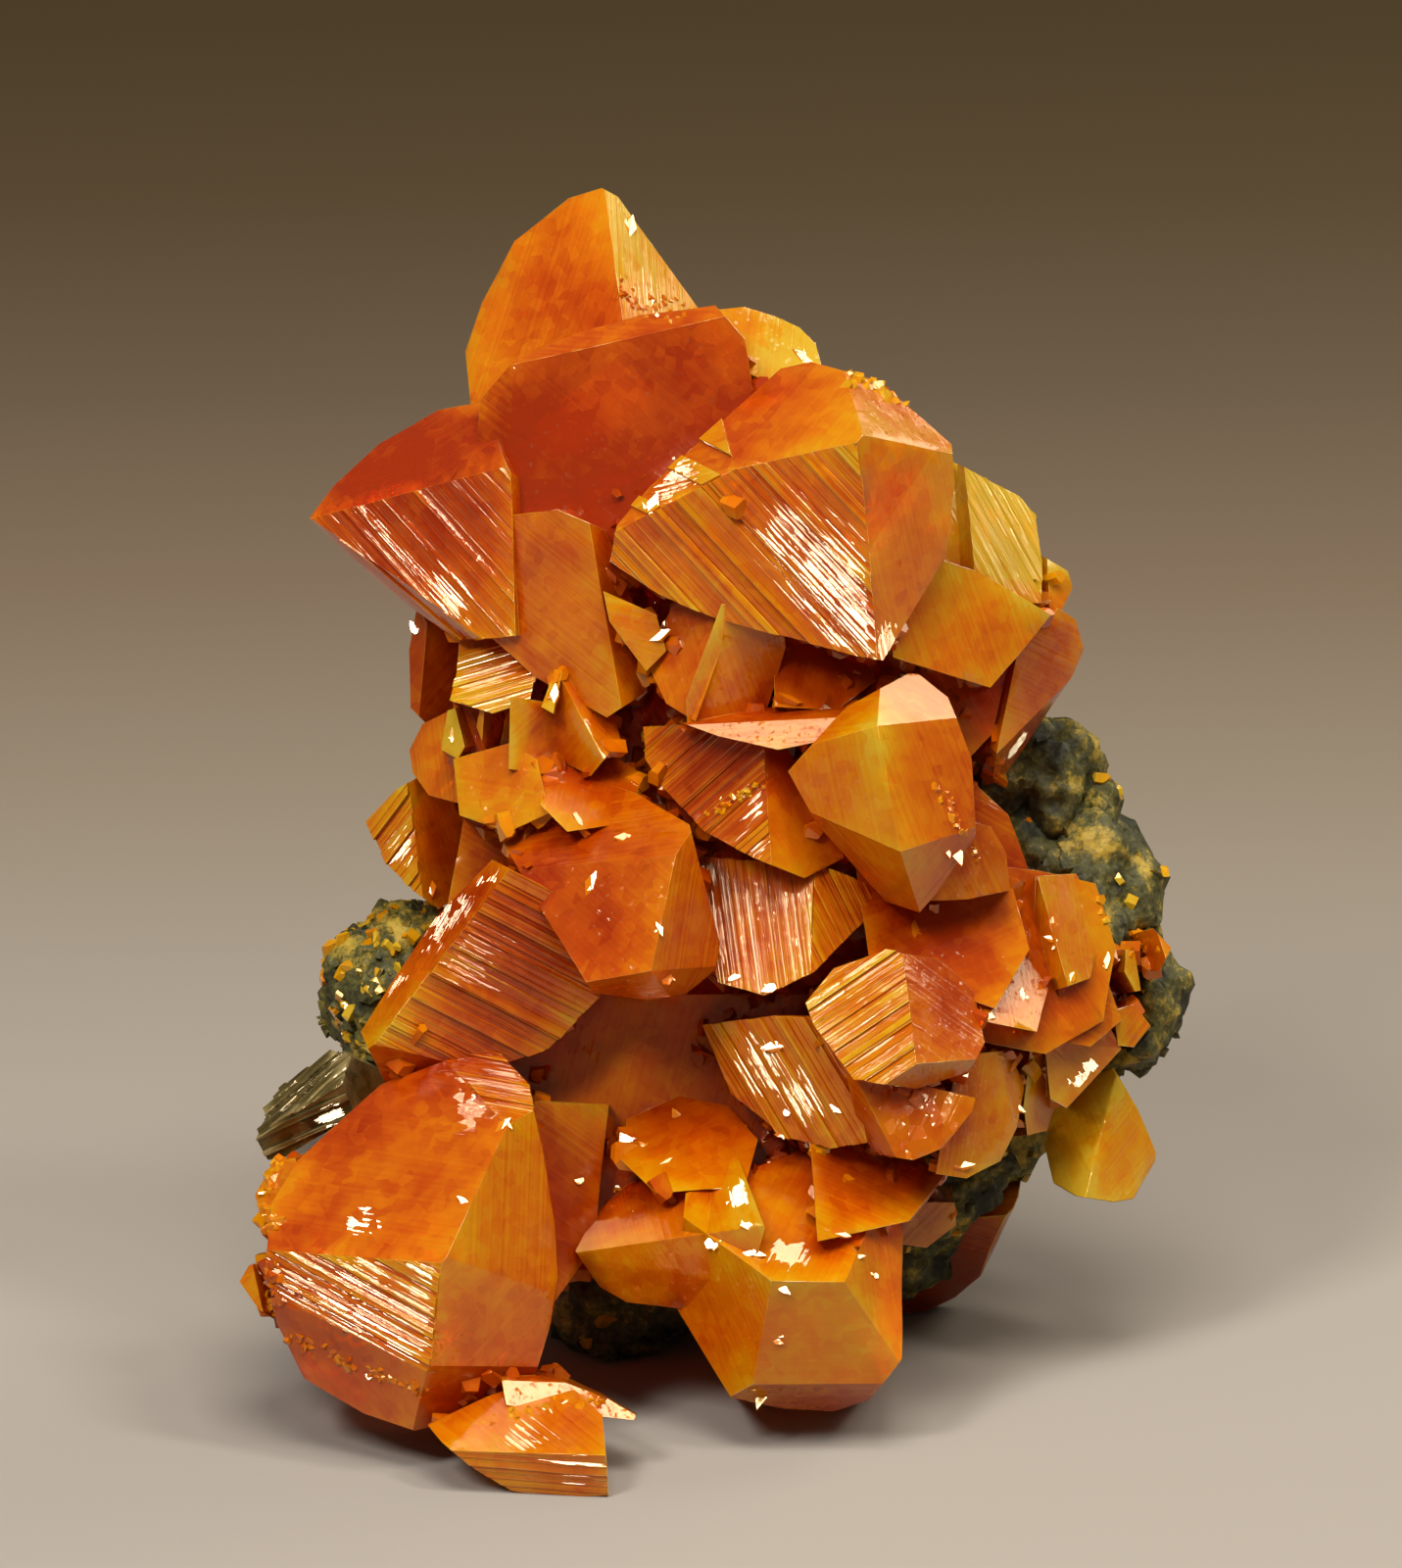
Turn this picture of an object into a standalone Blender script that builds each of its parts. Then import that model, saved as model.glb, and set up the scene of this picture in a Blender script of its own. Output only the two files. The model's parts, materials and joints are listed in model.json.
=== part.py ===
# A loose orpiment specimen: intergrown orange crystals on dark grey-green matrix rock, 40 mm high.
#
# The crystals are drawn as seen from the front, in millimetres: x to the right, z up the drawing, and
# "out" towards the viewer. The viewer looks down by LEAN, so the finished drawing leans back by that
# angle. GROUND is the surface that the specimen stands on, in the same drawing. Every crystal is a
# convex body: an outline, faces through three corners each, and a root inside the cluster.

import math
import random

import bmesh
import bpy
from mathutils import Matrix, Vector, noise

MM = 0.001
LEAN = math.radians(15)
GAP = 0.32
STOCK = 45.0
FOOT = Vector((0, -7.0, 0.12))


def place(x, z, out):
    """A corner of the drawing as a point, with y away from the viewer."""
    return Vector((x, -out, z))


GROUND = (FOOT, Vector((0, math.sin(LEAN), -math.cos(LEAN))))


def face(p, q, r):
    """The plane through three corners, facing the viewer."""
    p, q, r = place(*p), place(*q), place(*r)
    normal = (q - p).cross(r - p).normalized()
    return (p, -normal if normal.y > 0 else normal)


class Crystal:
    """The planes of a convex body, and the ledges that step some of its faces."""

    def __init__(self, planes):
        self.planes = [GROUND] + planes
        self.ledges = []

    def stepped(self, number, slope, count, height):
        """Adds striations to a face, by its number in the list, at a slope in degrees across the drawing."""
        self.ledges.append((self.planes[-number], slope, count, height))
        return self


def crystal(outline, rim, root, *faces, blunt=0.86):
    """A crystal with straight sides in front of its rim, tapering behind it to a blunt root."""
    planes = []
    middle = sum((place(x, z, rim) for x, z in outline), Vector()) / len(outline)
    root = place(*root)
    for (x, z), (next_x, next_z) in zip(outline, outline[1:] + outline[:1]):
        corner, edge = place(x, z, rim), Vector((next_x - x, 0, next_z - z))
        for along in (Vector((0, 1, 0)), root - corner):
            side = edge.cross(along).normalized()
            planes.append((corner, side if side.dot(corner - middle) > 0 else -side))
    planes.append((middle.lerp(root, blunt), (root - middle).normalized()))
    return Crystal(planes + [face(*corners) for corners in reversed(faces)])


def brick(centre, size, turn, chamfer=0.75):
    """A stubby crystal, longest along y, with chamfered edges and front corners, turned by a matrix."""
    planes = []
    for way in [Vector((x, y, z)) for x in (-1, 0, 1) for y in (-1, 0, 1) for z in (-1, 0, 1)]:
        steps = sum(abs(step) for step in way)
        if steps == 0 or (steps == 2 and way.y) or (steps == 3 and way.y > 0):
            continue
        normal = (turn @ Vector([step / half for step, half in zip(way, size)])).normalized()
        corner = turn @ Vector([step * half for step, half in zip(way, size)])
        planes.append((centre + corner * (1 if steps == 1 else chamfer), normal))
    return Crystal(planes)


def on_plane(shape, point, normal):
    found = [one for one in shape.faces if one.normal.dot(normal) > 0.9999]
    return [one for one in found if abs((one.calc_center_median() - point).dot(normal)) < 0.02]


def raise_ledges(shape, plane, slope, count, height):
    """Steps one face of the shape: strips along the slope, every second one raised a little."""
    point, normal = plane
    along = Vector((math.cos(math.radians(slope)), 0, math.sin(math.radians(slope))))
    across = normal.cross(along - normal * along.dot(normal)).normalized()
    places = [vert.co.dot(across) for one in on_plane(shape, point, normal) for vert in one.verts]
    if not places:
        return
    low, high = min(places), max(places)
    cuts = [low + (high - low) * (step + 0.3 * math.sin(2.4 * step)) / count for step in range(1, count)]
    for cut in cuts:
        flat = on_plane(shape, point, normal)
        near = {part for one in flat for part in [one] + list(one.edges) + list(one.verts)}
        bmesh.ops.bisect_plane(
            shape, geom=list(near), dist=0.0005, plane_co=across * cut, plane_no=across
        )
    ends = cuts + [high]
    for step in range(0, len(cuts), 2):
        flat = on_plane(shape, point, normal)
        strip = [one for one in flat if ends[step] < one.calc_center_median().dot(across) < ends[step + 1]]
        raised = bmesh.ops.extrude_face_region(shape, geom=strip)["geom"]
        bmesh.ops.delete(shape, geom=[one for one in strip if one.is_valid], context="FACES")
        top = [item for item in raised if isinstance(item, bmesh.types.BMVert)]
        bmesh.ops.translate(shape, verts=top, vec=normal * height * (0.7 + 0.3 * math.sin(1.7 * step)))


def solid(body, grow=0.0):
    """The body behind all of its planes, each moved outwards by grow, as a bmesh."""
    shape = bmesh.new()
    bmesh.ops.create_cube(shape, size=2 * STOCK, matrix=Matrix.Translation((0, 0, STOCK / 2)))
    for point, normal in body.planes:
        whole = shape.verts[:] + shape.edges[:] + shape.faces[:]
        cut = bmesh.ops.bisect_plane(
            shape, geom=whole, dist=0.0005, plane_co=point + normal * grow, plane_no=normal, clear_outer=True
        )
        edges = [item for item in cut["geom_cut"] if isinstance(item, bmesh.types.BMEdge)]
        if len(edges) > 2:
            bmesh.ops.contextual_create(shape, geom=edges)
    bmesh.ops.remove_doubles(shape, verts=shape.verts[:], dist=0.02)
    bmesh.ops.recalc_face_normals(shape, faces=shape.faces[:])
    for ledges in body.ledges if grow == 0 else []:
        raise_ledges(shape, *ledges)
    return shape


def as_object(name, shape):
    mesh = bpy.data.meshes.new(name)
    shape.to_mesh(mesh)
    shape.free()
    item = bpy.data.objects.new(name, mesh)
    bpy.context.scene.collection.objects.link(item)
    return item


def outer_shell(mesh):
    """The mesh without the walls of any hollow that is sealed inside it."""
    shape = bmesh.new()
    shape.from_mesh(mesh)
    shells, waiting = [], set(shape.faces)
    while waiting:
        shell, front = set(), [waiting.pop()]
        while front:
            one = front.pop()
            shell.add(one)
            beside = {near for edge in one.edges for near in edge.link_faces} & waiting
            waiting -= beside
            front += beside
        shells.append(shell)
    outer = max(shells, key=lambda shell: sum(one.calc_area() for one in shell))
    inner = [one for shell in shells if shell is not outer for one in shell]
    bmesh.ops.delete(shape, geom=inner, context="FACES")
    shape.to_mesh(mesh)
    shape.free()
    return mesh


def boolean(base, others, operation):
    """base joined with, or cut by, all the others, which are used up."""
    group = bpy.data.collections.new("operands")
    bpy.context.scene.collection.children.link(group)
    for other in others:
        group.objects.link(other)
        bpy.context.scene.collection.objects.unlink(other)
    modifier = base.modifiers.new(operation.lower(), "BOOLEAN")
    modifier.operation = operation
    modifier.operand_type = "COLLECTION"
    modifier.collection = group
    modifier.solver = "EXACT"
    graph = bpy.context.evaluated_depsgraph_get()
    mesh = bpy.data.meshes.new_from_object(base.evaluated_get(graph))
    base.modifiers.clear()
    base.data = outer_shell(mesh)
    for other in others:
        bpy.data.objects.remove(other)
    bpy.data.collections.remove(group)
    return base


def joined(name, crystals):
    items = [as_object(name, solid(body)) for body in crystals]
    return boolean(items[0], items[1:], "UNION") if len(items) > 1 else items[0]


def socketed(node, neighbours):
    """The node with a socket for each of the neighbouring crystals, a gap wider all round."""
    return boolean(node, [as_object("socket", solid(body, GAP)) for body in neighbours], "DIFFERENCE")


def summit():
    crest, heel = (-3.1, 39.75, -3.2), (-2.65, 36.5, -2.0)
    return [
        crystal(
            [(-7.4, 34.8), (-6.9, 36.3), (-5.9, 38.2), (-4.2, 39.5), (-3.2, 39.8), (-2.7, 39.55),
             (-0.1, 36.0), (0.2, 33.0), (-5.0, 30.5), (-7.2, 33.0)],
            -4.6, (-2.0, 30.0, -7.5),
            (crest, heel, (-7.4, 34.8, -4.2)),
            (crest, heel, (-0.2, 36.2, -4.5)),
        ),
        crystal(
            [(0.2, 36.0), (1.2, 36.1), (2.2, 35.8), (2.9, 35.5), (3.4, 35.0), (3.6, 34.2), (2.5, 32.5),
             (0.2, 33.5)],
            -2.4, (1.5, 31.0, -6.0),
            ((0.5, 36.0, -1.5), (3.4, 35.0, -2.0), (2.0, 33.5, -0.4)),
        ),
    ]


def dome():
    return [
        crystal(
            [(-7.0, 31.6), (-6.9, 33.2), (-5.9, 34.3), (-4.0, 35.2), (-2.0, 35.75), (0.3, 36.05),
             (1.2, 35.0), (1.5, 33.0), (0.3, 31.0), (-1.6, 29.3), (-2.9, 28.6), (-4.5, 28.4), (-6.6, 30.2)],
            0.2, (-2.5, 30.0, -7.0),
            ((-6.9, 33.0, 1.2), (0.6, 35.8, 2.6), (-2.9, 29.0, 1.5)),
            ((-5.9, 34.2, 1.5), (0.3, 35.9, 2.2), (-2.0, 35.7, 1.4)),
            ((-6.9, 31.6, 0.7), (-6.9, 33.2, 0.8), (-5.6, 32.5, 1.5)),
        ),
    ]


def saddle():
    brow, shoulder, cheek = (0.9, 31.0, 5.2), (4.8, 31.9, 6.3), (5.0, 28.6, 5.6)
    return [
        crystal(
            [(-2.9, 28.2), (-2.7, 29.3), (-1.7, 30.5), (2.3, 34.1), (3.2, 34.3), (5.3, 33.7), (6.6, 32.6),
             (7.5, 31.8), (7.6, 30.6), (7.3, 28.3), (6.0, 26.2), (5.4, 25.2), (4.8, 25.3), (0.3, 26.5),
             (-1.4, 27.2)],
            2.2, (2.0, 29.0, -7.0),
            (brow, (-1.8, 29.6, 4.2), (5.2, 25.3, 4.9)),
            (shoulder, cheek, (7.5, 31.0, 3.4)),
            (brow, shoulder, (3.2, 34.3, 2.6)),
            (shoulder, (7.5, 31.6, 3.3), (6.0, 33.3, 2.4)),
            (brow, (-1.8, 29.6, 4.2), (-0.2, 31.9, 3.2)),
            (cheek, (5.4, 25.4, 4.9), (7.3, 28.4, 3.4)),
        ).stepped(1, -47, 14, 0.12).stepped(5, -42, 6, 0.12),
    ]


def wing():
    tip, knee = (-12.1, 29.6, -1.2), (-7.0, 30.9, 1.4)
    return [
        crystal(
            [(-12.15, 29.6), (-11.4, 30.6), (-10.0, 31.9), (-8.2, 32.9), (-6.5, 33.2), (-4.5, 30.0),
             (-4.5, 27.0), (-5.5, 26.0), (-6.5, 25.9), (-7.7, 25.9), (-9.1, 26.9), (-11.0, 28.5)],
            -2.2, (-3.0, 29.0, -6.5),
            (tip, knee, (-8.2, 32.9, -1.0)),
            (tip, knee, (-7.7, 26.2, 0.6)),
            (tip, (-8.9, 27.4, 0.2), (-9.4, 27.2, -1.5)),
        ).stepped(3, -42, 4, 0.08),
    ]


def upper_body():
    crest, heel = (-3.4, 28.6, 3.0), (-2.6, 24.0, 2.6)
    return [
        crystal(
            [(-7.0, 29.5), (-4.5, 29.8), (-2.6, 29.0), (-2.2, 27.0), (-1.5, 25.2), (-1.9, 24.2),
             (-3.0, 23.5), (-5.2, 24.7), (-6.5, 25.9)],
            -0.2, (-2.5, 27.0, -6.5),
            (crest, heel, (-6.8, 28.0, 0.9)),
            (crest, heel, (-1.5, 25.2, 1.2)),
        ),
        crystal(
            [(-3.1, 27.3), (-1.5, 26.6), (-1.2, 25.5), (-1.8, 24.9), (-2.9, 26.4)],
            1.6, (-2.0, 25.8, -4.0),
            ((-2.9, 27.0, 3.5), (-1.4, 26.5, 3.2), (-1.6, 25.2, 3.0)),
        ),
    ]


def blocks():
    top, bottom = (0.85, 26.5, 3.9), (-0.45, 23.4, 3.7)
    return [
        crystal(
            [(-0.9, 27.1), (0.95, 26.9), (-0.3, 23.35), (-1.2, 23.9), (-1.8, 25.2)],
            1.2, (0.0, 25.0, -5.0),
            (top, bottom, (-1.7, 25.2, 2.5)),
        ),
        crystal(
            [(0.5, 26.9), (2.3, 26.8), (2.45, 25.6), (1.8, 23.5), (-0.55, 23.25), (-0.6, 24.0)],
            1.1, (0.4, 25.0, -5.2),
            ((0.86, 26.5, 3.92), (-0.44, 23.4, 3.72), (2.3, 24.6, 2.7)),
        ),
        crystal(
            [(2.1, 26.3), (3.4, 25.7), (4.8, 25.0), (5.2, 24.6), (4.0, 23.7), (2.1, 23.8)],
            0.8, (3.0, 24.0, -5.0),
            ((2.4, 25.5, 2.3), (5.0, 24.7, 2.1), (2.5, 24.0, 3.2)),
        ),
        crystal(
            [(-0.7, 23.3), (1.6, 23.75), (4.0, 23.95), (4.95, 23.4), (3.5, 22.75), (2.2, 22.5), (0.4, 22.9)],
            1.0, (2.0, 23.2, -4.0),
            ((-0.6, 23.3, 3.9), (4.9, 23.5, 4.0), (1.6, 23.8, 2.6)),
            ((-0.6, 23.2, 4.1), (2.2, 22.5, 4.4), (4.9, 23.3, 4.1)),
        ),
    ]


def wedge():
    top, bottom = (1.8, 22.3, 3.5), (2.0, 19.1, 4.0)
    return [
        crystal(
            [(-1.9, 23.2), (-1.8, 22.2), (-1.2, 21.3), (0.0, 20.0), (1.5, 19.2), (3.0, 18.6), (4.2, 19.2),
             (3.6, 20.8), (2.3, 22.8), (0.4, 23.3)],
            0.6, (1.0, 22.0, -5.0),
            (top, bottom, (-1.8, 22.5, 1.8)),
            (top, bottom, (3.9, 19.8, 2.6)),
        ).stepped(1, 36, 9, 0.1),
    ]


def centre_right():
    top, bend, chin = (5.2, 23.2, 6.0), (5.9, 19.4, 6.2), (6.5, 17.6, 4.3)
    return [
        crystal(
            [(2.1, 22.6), (4.3, 23.8), (5.3, 24.9), (6.5, 24.8), (7.4, 24.1), (8.1, 22.2), (8.2, 19.9),
             (7.0, 18.1), (6.5, 17.55), (5.5, 17.9), (3.4, 20.2)],
            1.8, (5.0, 22.0, -6.5),
            (top, bend, (2.3, 22.0, 3.7)),
            (top, bend, (8.1, 21.2, 3.8)),
            (bend, chin, (8.1, 19.9, 3.9)),
            (bend, chin, (3.5, 20.4, 4.4)),
            (top, (2.3, 22.6, 3.4), (5.3, 24.9, 3.7)),
            (top, (5.3, 24.9, 3.8), (7.3, 24.1, 3.2)),
        ),
        crystal(
            [(7.4, 20.5), (8.7, 20.15), (9.15, 19.35), (9.3, 18.2), (8.0, 17.95), (6.7, 17.9), (6.4, 19.0)],
            0.2, (7.0, 20.0, -6.5),
            ((8.7, 20.1, 2.2), (9.25, 18.3, 1.7), (6.9, 18.1, 3.5)),
        ),
    ]


def right_upper():
    return [
        crystal(
            [(7.0, 28.7), (8.3, 27.95), (10.1, 27.4), (10.95, 27.1), (9.6, 25.4), (8.7, 24.4), (7.0, 24.9),
             (5.7, 25.3), (5.6, 26.5)],
            -1.8, (6.0, 26.0, -7.0),
            ((7.3, 28.4, 2.1), (10.9, 27.1, -0.7), (7.0, 25.1, 2.6)),
        ),
        crystal(
            [(7.2, 31.6), (8.7, 30.8), (9.6, 30.35), (10.15, 29.7), (10.35, 28.3), (10.3, 27.0), (7.2, 27.0)],
            -3.6, (6.0, 29.0, -7.5),
            ((7.3, 31.3, -0.7), (10.1, 29.6, -2.4), (8.0, 27.3, 0.3)),
        ),
        crystal(
            [(9.6, 28.7), (10.3, 28.5), (11.15, 28.0), (11.3, 27.5), (10.9, 26.7), (9.4, 26.6)],
            -3.9, (7.0, 27.0, -7.5),
            ((9.8, 28.5, -1.9), (11.2, 27.7, -2.9), (10.0, 26.8, -1.6)),
        ),
        crystal(
            [(10.4, 27.1), (11.4, 26.5), (11.65, 25.6), (11.3, 24.8), (10.1, 23.0), (9.05, 21.5), (8.3, 22.3),
             (7.8, 23.6), (8.2, 25.2)],
            -3.8, (6.5, 25.0, -8.0),
            ((10.7, 26.9, -1.6), (11.5, 25.4, -2.7), (8.6, 22.6, 0.2)),
            ((8.9, 22.4, 0.0), (10.1, 23.6, -1.2), (10.0, 23.0, -2.6)),
        ),
    ]


def left_edge():
    """Small crystals that close the left side, from the top down."""
    return [
        crystal(
            [(-8.9, 26.9), (-9.15, 25.6), (-9.1, 23.8), (-8.5, 23.2), (-7.0, 24.0), (-6.5, 26.0), (-7.8, 27.0)],
            -5.2, (-4.0, 25.5, -7.5),
            ((-9.0, 25.0, -3.8), (-7.5, 26.0, -2.2), (-7.8, 24.0, -2.6)),
        ),
        crystal(
            [(-9.1, 22.5), (-8.7, 23.3), (-7.9, 23.7), (-6.0, 23.6), (-5.0, 22.0), (-6.5, 20.6), (-8.5, 21.1),
             (-9.0, 21.8)],
            -3.8, (-4.0, 22.5, -7.0),
            ((-9.0, 22.5, -2.6), (-7.0, 23.4, -1.0), (-7.5, 21.2, -0.6)),
        ),
        crystal(
            [(-10.4, 20.3), (-9.45, 21.3), (-8.6, 21.8), (-7.0, 21.0), (-6.8, 18.4), (-8.2, 17.6), (-8.9, 18.1),
             (-9.8, 19.0)],
            -4.6, (-4.5, 20.0, -7.5),
            ((-10.2, 20.3, -2.8), (-8.5, 18.0, -2.2), (-7.5, 20.5, -1.4)),
        ).stepped(1, 46, 6, 0.14),
    ]


def olive_crystal():
    low, high = (-13.3, 10.9, 0.4), (-10.4, 12.7, 1.8)
    return [
        crystal(
            [(-13.75, 10.6), (-13.05, 12.15), (-12.0, 12.8), (-11.1, 13.25), (-9.6, 12.5), (-9.4, 11.4),
             (-11.2, 10.5), (-12.6, 9.95), (-13.4, 9.95)],
            -2.4, (-8.0, 11.5, -6.0),
            (low, high, (-12.0, 12.8, -0.8)),
            (low, high, (-12.4, 10.1, 0.0)),
        ).stepped(1, 33, 5, 0.14).stepped(2, 33, 5, 0.14),
    ]


def prow():
    top, nose = (-0.9, 19.3, 5.3), (-1.65, 15.8, 6.2)
    return [
        crystal(
            [(-2.0, 21.1), (-0.5, 20.2), (0.45, 16.6), (0.3, 15.8), (-0.6, 15.1), (-1.65, 14.9), (-3.5, 15.1),
             (-4.9, 17.5), (-6.7, 20.4), (-4.5, 22.0)],
            1.0, (-2.0, 20.0, -6.0),
            (top, nose, (-5.5, 19.0, 2.9)),
            (top, nose, (0.4, 16.3, 3.9)),
            ((-3.4, 15.4, 5.2), nose, (-1.6, 14.95, 4.6)),
            (nose, (0.3, 15.9, 4.0), (-0.6, 15.1, 4.3)),
            (top, (-5.5, 19.0, 2.8), (-2.5, 21.3, 2.0)),
        ),
    ]


def fan():
    return [
        crystal(
            [(-6.5, 19.15), (-5.0, 18.4), (-3.2, 17.2), (-3.2, 15.0), (-4.8, 13.4), (-6.6, 12.8), (-9.6, 12.0),
             (-10.5, 13.9), (-9.5, 15.5), (-8.2, 17.4)],
            0.6, (-5.0, 15.0, -5.5),
            ((-6.1, 18.7, 4.1), (-9.7, 14.0, 3.6), (-4.5, 14.0, 2.4)),
            ((-6.1, 18.7, 4.1), (-9.7, 14.0, 3.6), (-8.7, 16.6, 2.3)),
            ((-9.7, 13.6, 3.6), (-6.6, 13.0, 2.9), (-9.4, 12.2, 2.0)),
        ).stepped(1, -30, 12, 0.12),
    ]


def curtain():
    top, bottom = (3.3, 18.5, 3.0), (3.2, 16.0, 3.9)
    return [
        crystal(
            [(-0.8, 19.6), (1.3, 19.8), (3.6, 18.9), (4.7, 18.8), (5.5, 17.1), (4.8, 16.5), (3.3, 15.75),
             (2.4, 14.85), (0.4, 15.4)],
            -0.4, (2.0, 18.0, -5.5),
            (top, bottom, (-0.5, 18.5, 1.6)),
            (top, bottom, (5.3, 17.3, 2.4)),
        ).stepped(1, -76, 10, 0.08).stepped(2, -66, 7, 0.1),
        crystal(
            [(4.6, 18.9), (6.8, 18.7), (9.4, 18.3), (9.9, 16.4), (8.8, 14.6), (7.2, 15.2), (5.0, 16.0)],
            -1.0, (7.0, 17.0, -6.5),
            ((5.0, 18.0, 2.4), (7.4, 15.6, 2.9), (9.5, 17.5, 0.6)),
            ((6.6, 18.3, 1.4), (8.6, 18.0, 0.9), (7.2, 16.9, 2.4)),
        ),
    ]


def ladder():
    top, bottom = (6.0, 16.2, 4.3), (6.7, 13.0, 5.5)
    return [
        crystal(
            [(3.05, 14.8), (3.9, 15.85), (5.5, 16.4), (7.2, 16.1), (8.2, 15.1), (8.5, 13.6), (8.0, 12.7),
             (6.4, 12.2), (4.5, 12.5), (3.3, 14.1)],
            1.0, (6.0, 15.0, -5.5),
            ((3.1, 14.7, 4.5), (4.7, 12.6, 5.7), top),
            (top, bottom, (8.3, 14.2, 3.3)),
            (bottom, (8.2, 13.0, 3.9), (6.4, 12.3, 4.8)),
        ).stepped(1, 37, 11, 0.12),
        crystal(
            [(-0.1, 14.1), (2.1, 14.4), (3.4, 14.4), (4.5, 12.7), (5.0, 10.6), (3.9, 10.4), (2.4, 10.7),
             (0.8, 12.0)],
            -0.4, (2.5, 13.0, -5.5),
            ((0.1, 13.8, 1.7), (1.2, 12.0, 1.9), (3.2, 14.0, 3.9)),
            ((3.3, 14.0, 4.2), (4.6, 12.4, 4.5), (3.9, 10.9, 3.9)),
        ).stepped(1, -55, 7, 0.16),
        crystal(
            [(4.2, 12.9), (5.0, 12.7), (6.2, 12.8), (8.5, 13.0), (8.1, 11.5), (7.2, 10.4), (6.3, 10.05),
             (5.3, 10.2), (4.7, 10.8)],
            0.6, (6.0, 12.0, -5.5),
            ((5.0, 12.1, 5.0), (8.2, 12.8, 3.6), (5.8, 10.5, 4.7)),
            ((4.6, 12.5, 5.2), (5.6, 10.5, 4.8), (4.5, 11.0, 3.8)),
        ),
        crystal(
            [(7.7, 13.2), (9.3, 13.3), (9.75, 12.15), (9.5, 10.95), (9.0, 9.95), (7.95, 9.45), (7.0, 9.6),
             (7.2, 10.7)],
            -1.0, (7.5, 12.0, -6.5),
            ((7.9, 12.9, 2.6), (9.6, 11.6, 1.0), (7.3, 9.9, 3.2)),
            ((9.3, 13.0, 0.8), (9.7, 11.8, 0.3), (9.2, 11.6, 1.5)),
        ),
    ]


def right_middle():
    """Blades between the ladder and the matrix."""
    return [
        crystal(
            [(9.3, 13.4), (10.3, 13.2), (10.9, 12.0), (10.5, 10.8), (9.5, 10.6), (9.2, 12.0)],
            -3.4, (8.5, 12.5, -7.0),
            ((9.5, 13.1, 0.3), (10.7, 12.0, -1.5), (9.6, 10.9, -0.6)),
        ),
        crystal(
            [(10.0, 13.6), (12.2, 14.4), (12.8, 13.3), (11.1, 11.5), (10.2, 12.0)],
            -3.6, (9.5, 14.0, -7.5),
            ((10.4, 13.2, -0.3), (12.4, 13.5, -1.9), (11.0, 11.8, -0.9)),
        ),
        crystal(
            [(9.0, 10.8), (10.4, 10.9), (10.8, 9.9), (10.2, 9.0), (9.2, 9.1), (8.8, 9.8)],
            -4.4, (8.5, 11.5, -7.5),
            ((9.2, 10.4, -1.4), (10.6, 10.0, -2.6), (9.8, 9.2, -1.8)),
        ),
        crystal(
            [(8.4, 19.0), (10.2, 18.8), (12.0, 18.4), (12.6, 16.4), (12.2, 14.2), (10.4, 13.2), (8.4, 13.6)],
            -3.0, (9.0, 16.5, -7.0),
            ((8.8, 18.0, 0.2), (9.2, 14.0, 1.2), (12.2, 16.2, -1.4)),
        ),
    ]


def golden_crystal():
    crest, heel = (12.75, 12.7, -3.5), (11.75, 9.0, -2.5)
    return [
        crystal(
            [(12.75, 12.8), (13.35, 11.4), (13.95, 10.4), (13.9, 9.8), (13.2, 8.65), (12.6, 8.55), (11.4, 8.75),
             (10.75, 9.15), (10.5, 10.35), (10.75, 11.4), (11.4, 12.1)],
            -5.6, (11.0, 11.5, -9.0),
            (crest, heel, (10.6, 10.3, -4.2)),
            (crest, heel, (13.9, 10.1, -4.5)),
        ),
    ]


def back_red():
    return [
        crystal(
            [(5.0, 10.4), (8.7, 10.4), (9.95, 9.5), (9.75, 8.6), (9.3, 7.6), (8.6, 6.1), (7.8, 5.4),
             (6.9, 4.95), (5.4, 4.8), (4.6, 7.5)],
            -11.6, (6.5, 11.5, -13.5),
            ((5.8, 9.6, -5.6), (9.8, 9.3, -6.6), (6.9, 4.95, -9.6)),
            ((9.8, 9.0, -6.8), (8.6, 6.2, -9.2), (9.6, 8.0, -8.6)),
            ((5.2, 6.9, -7.7), (8.8, 6.9, -8.4), (6.9, 4.95, -10.6)),
        ),
    ]


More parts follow.
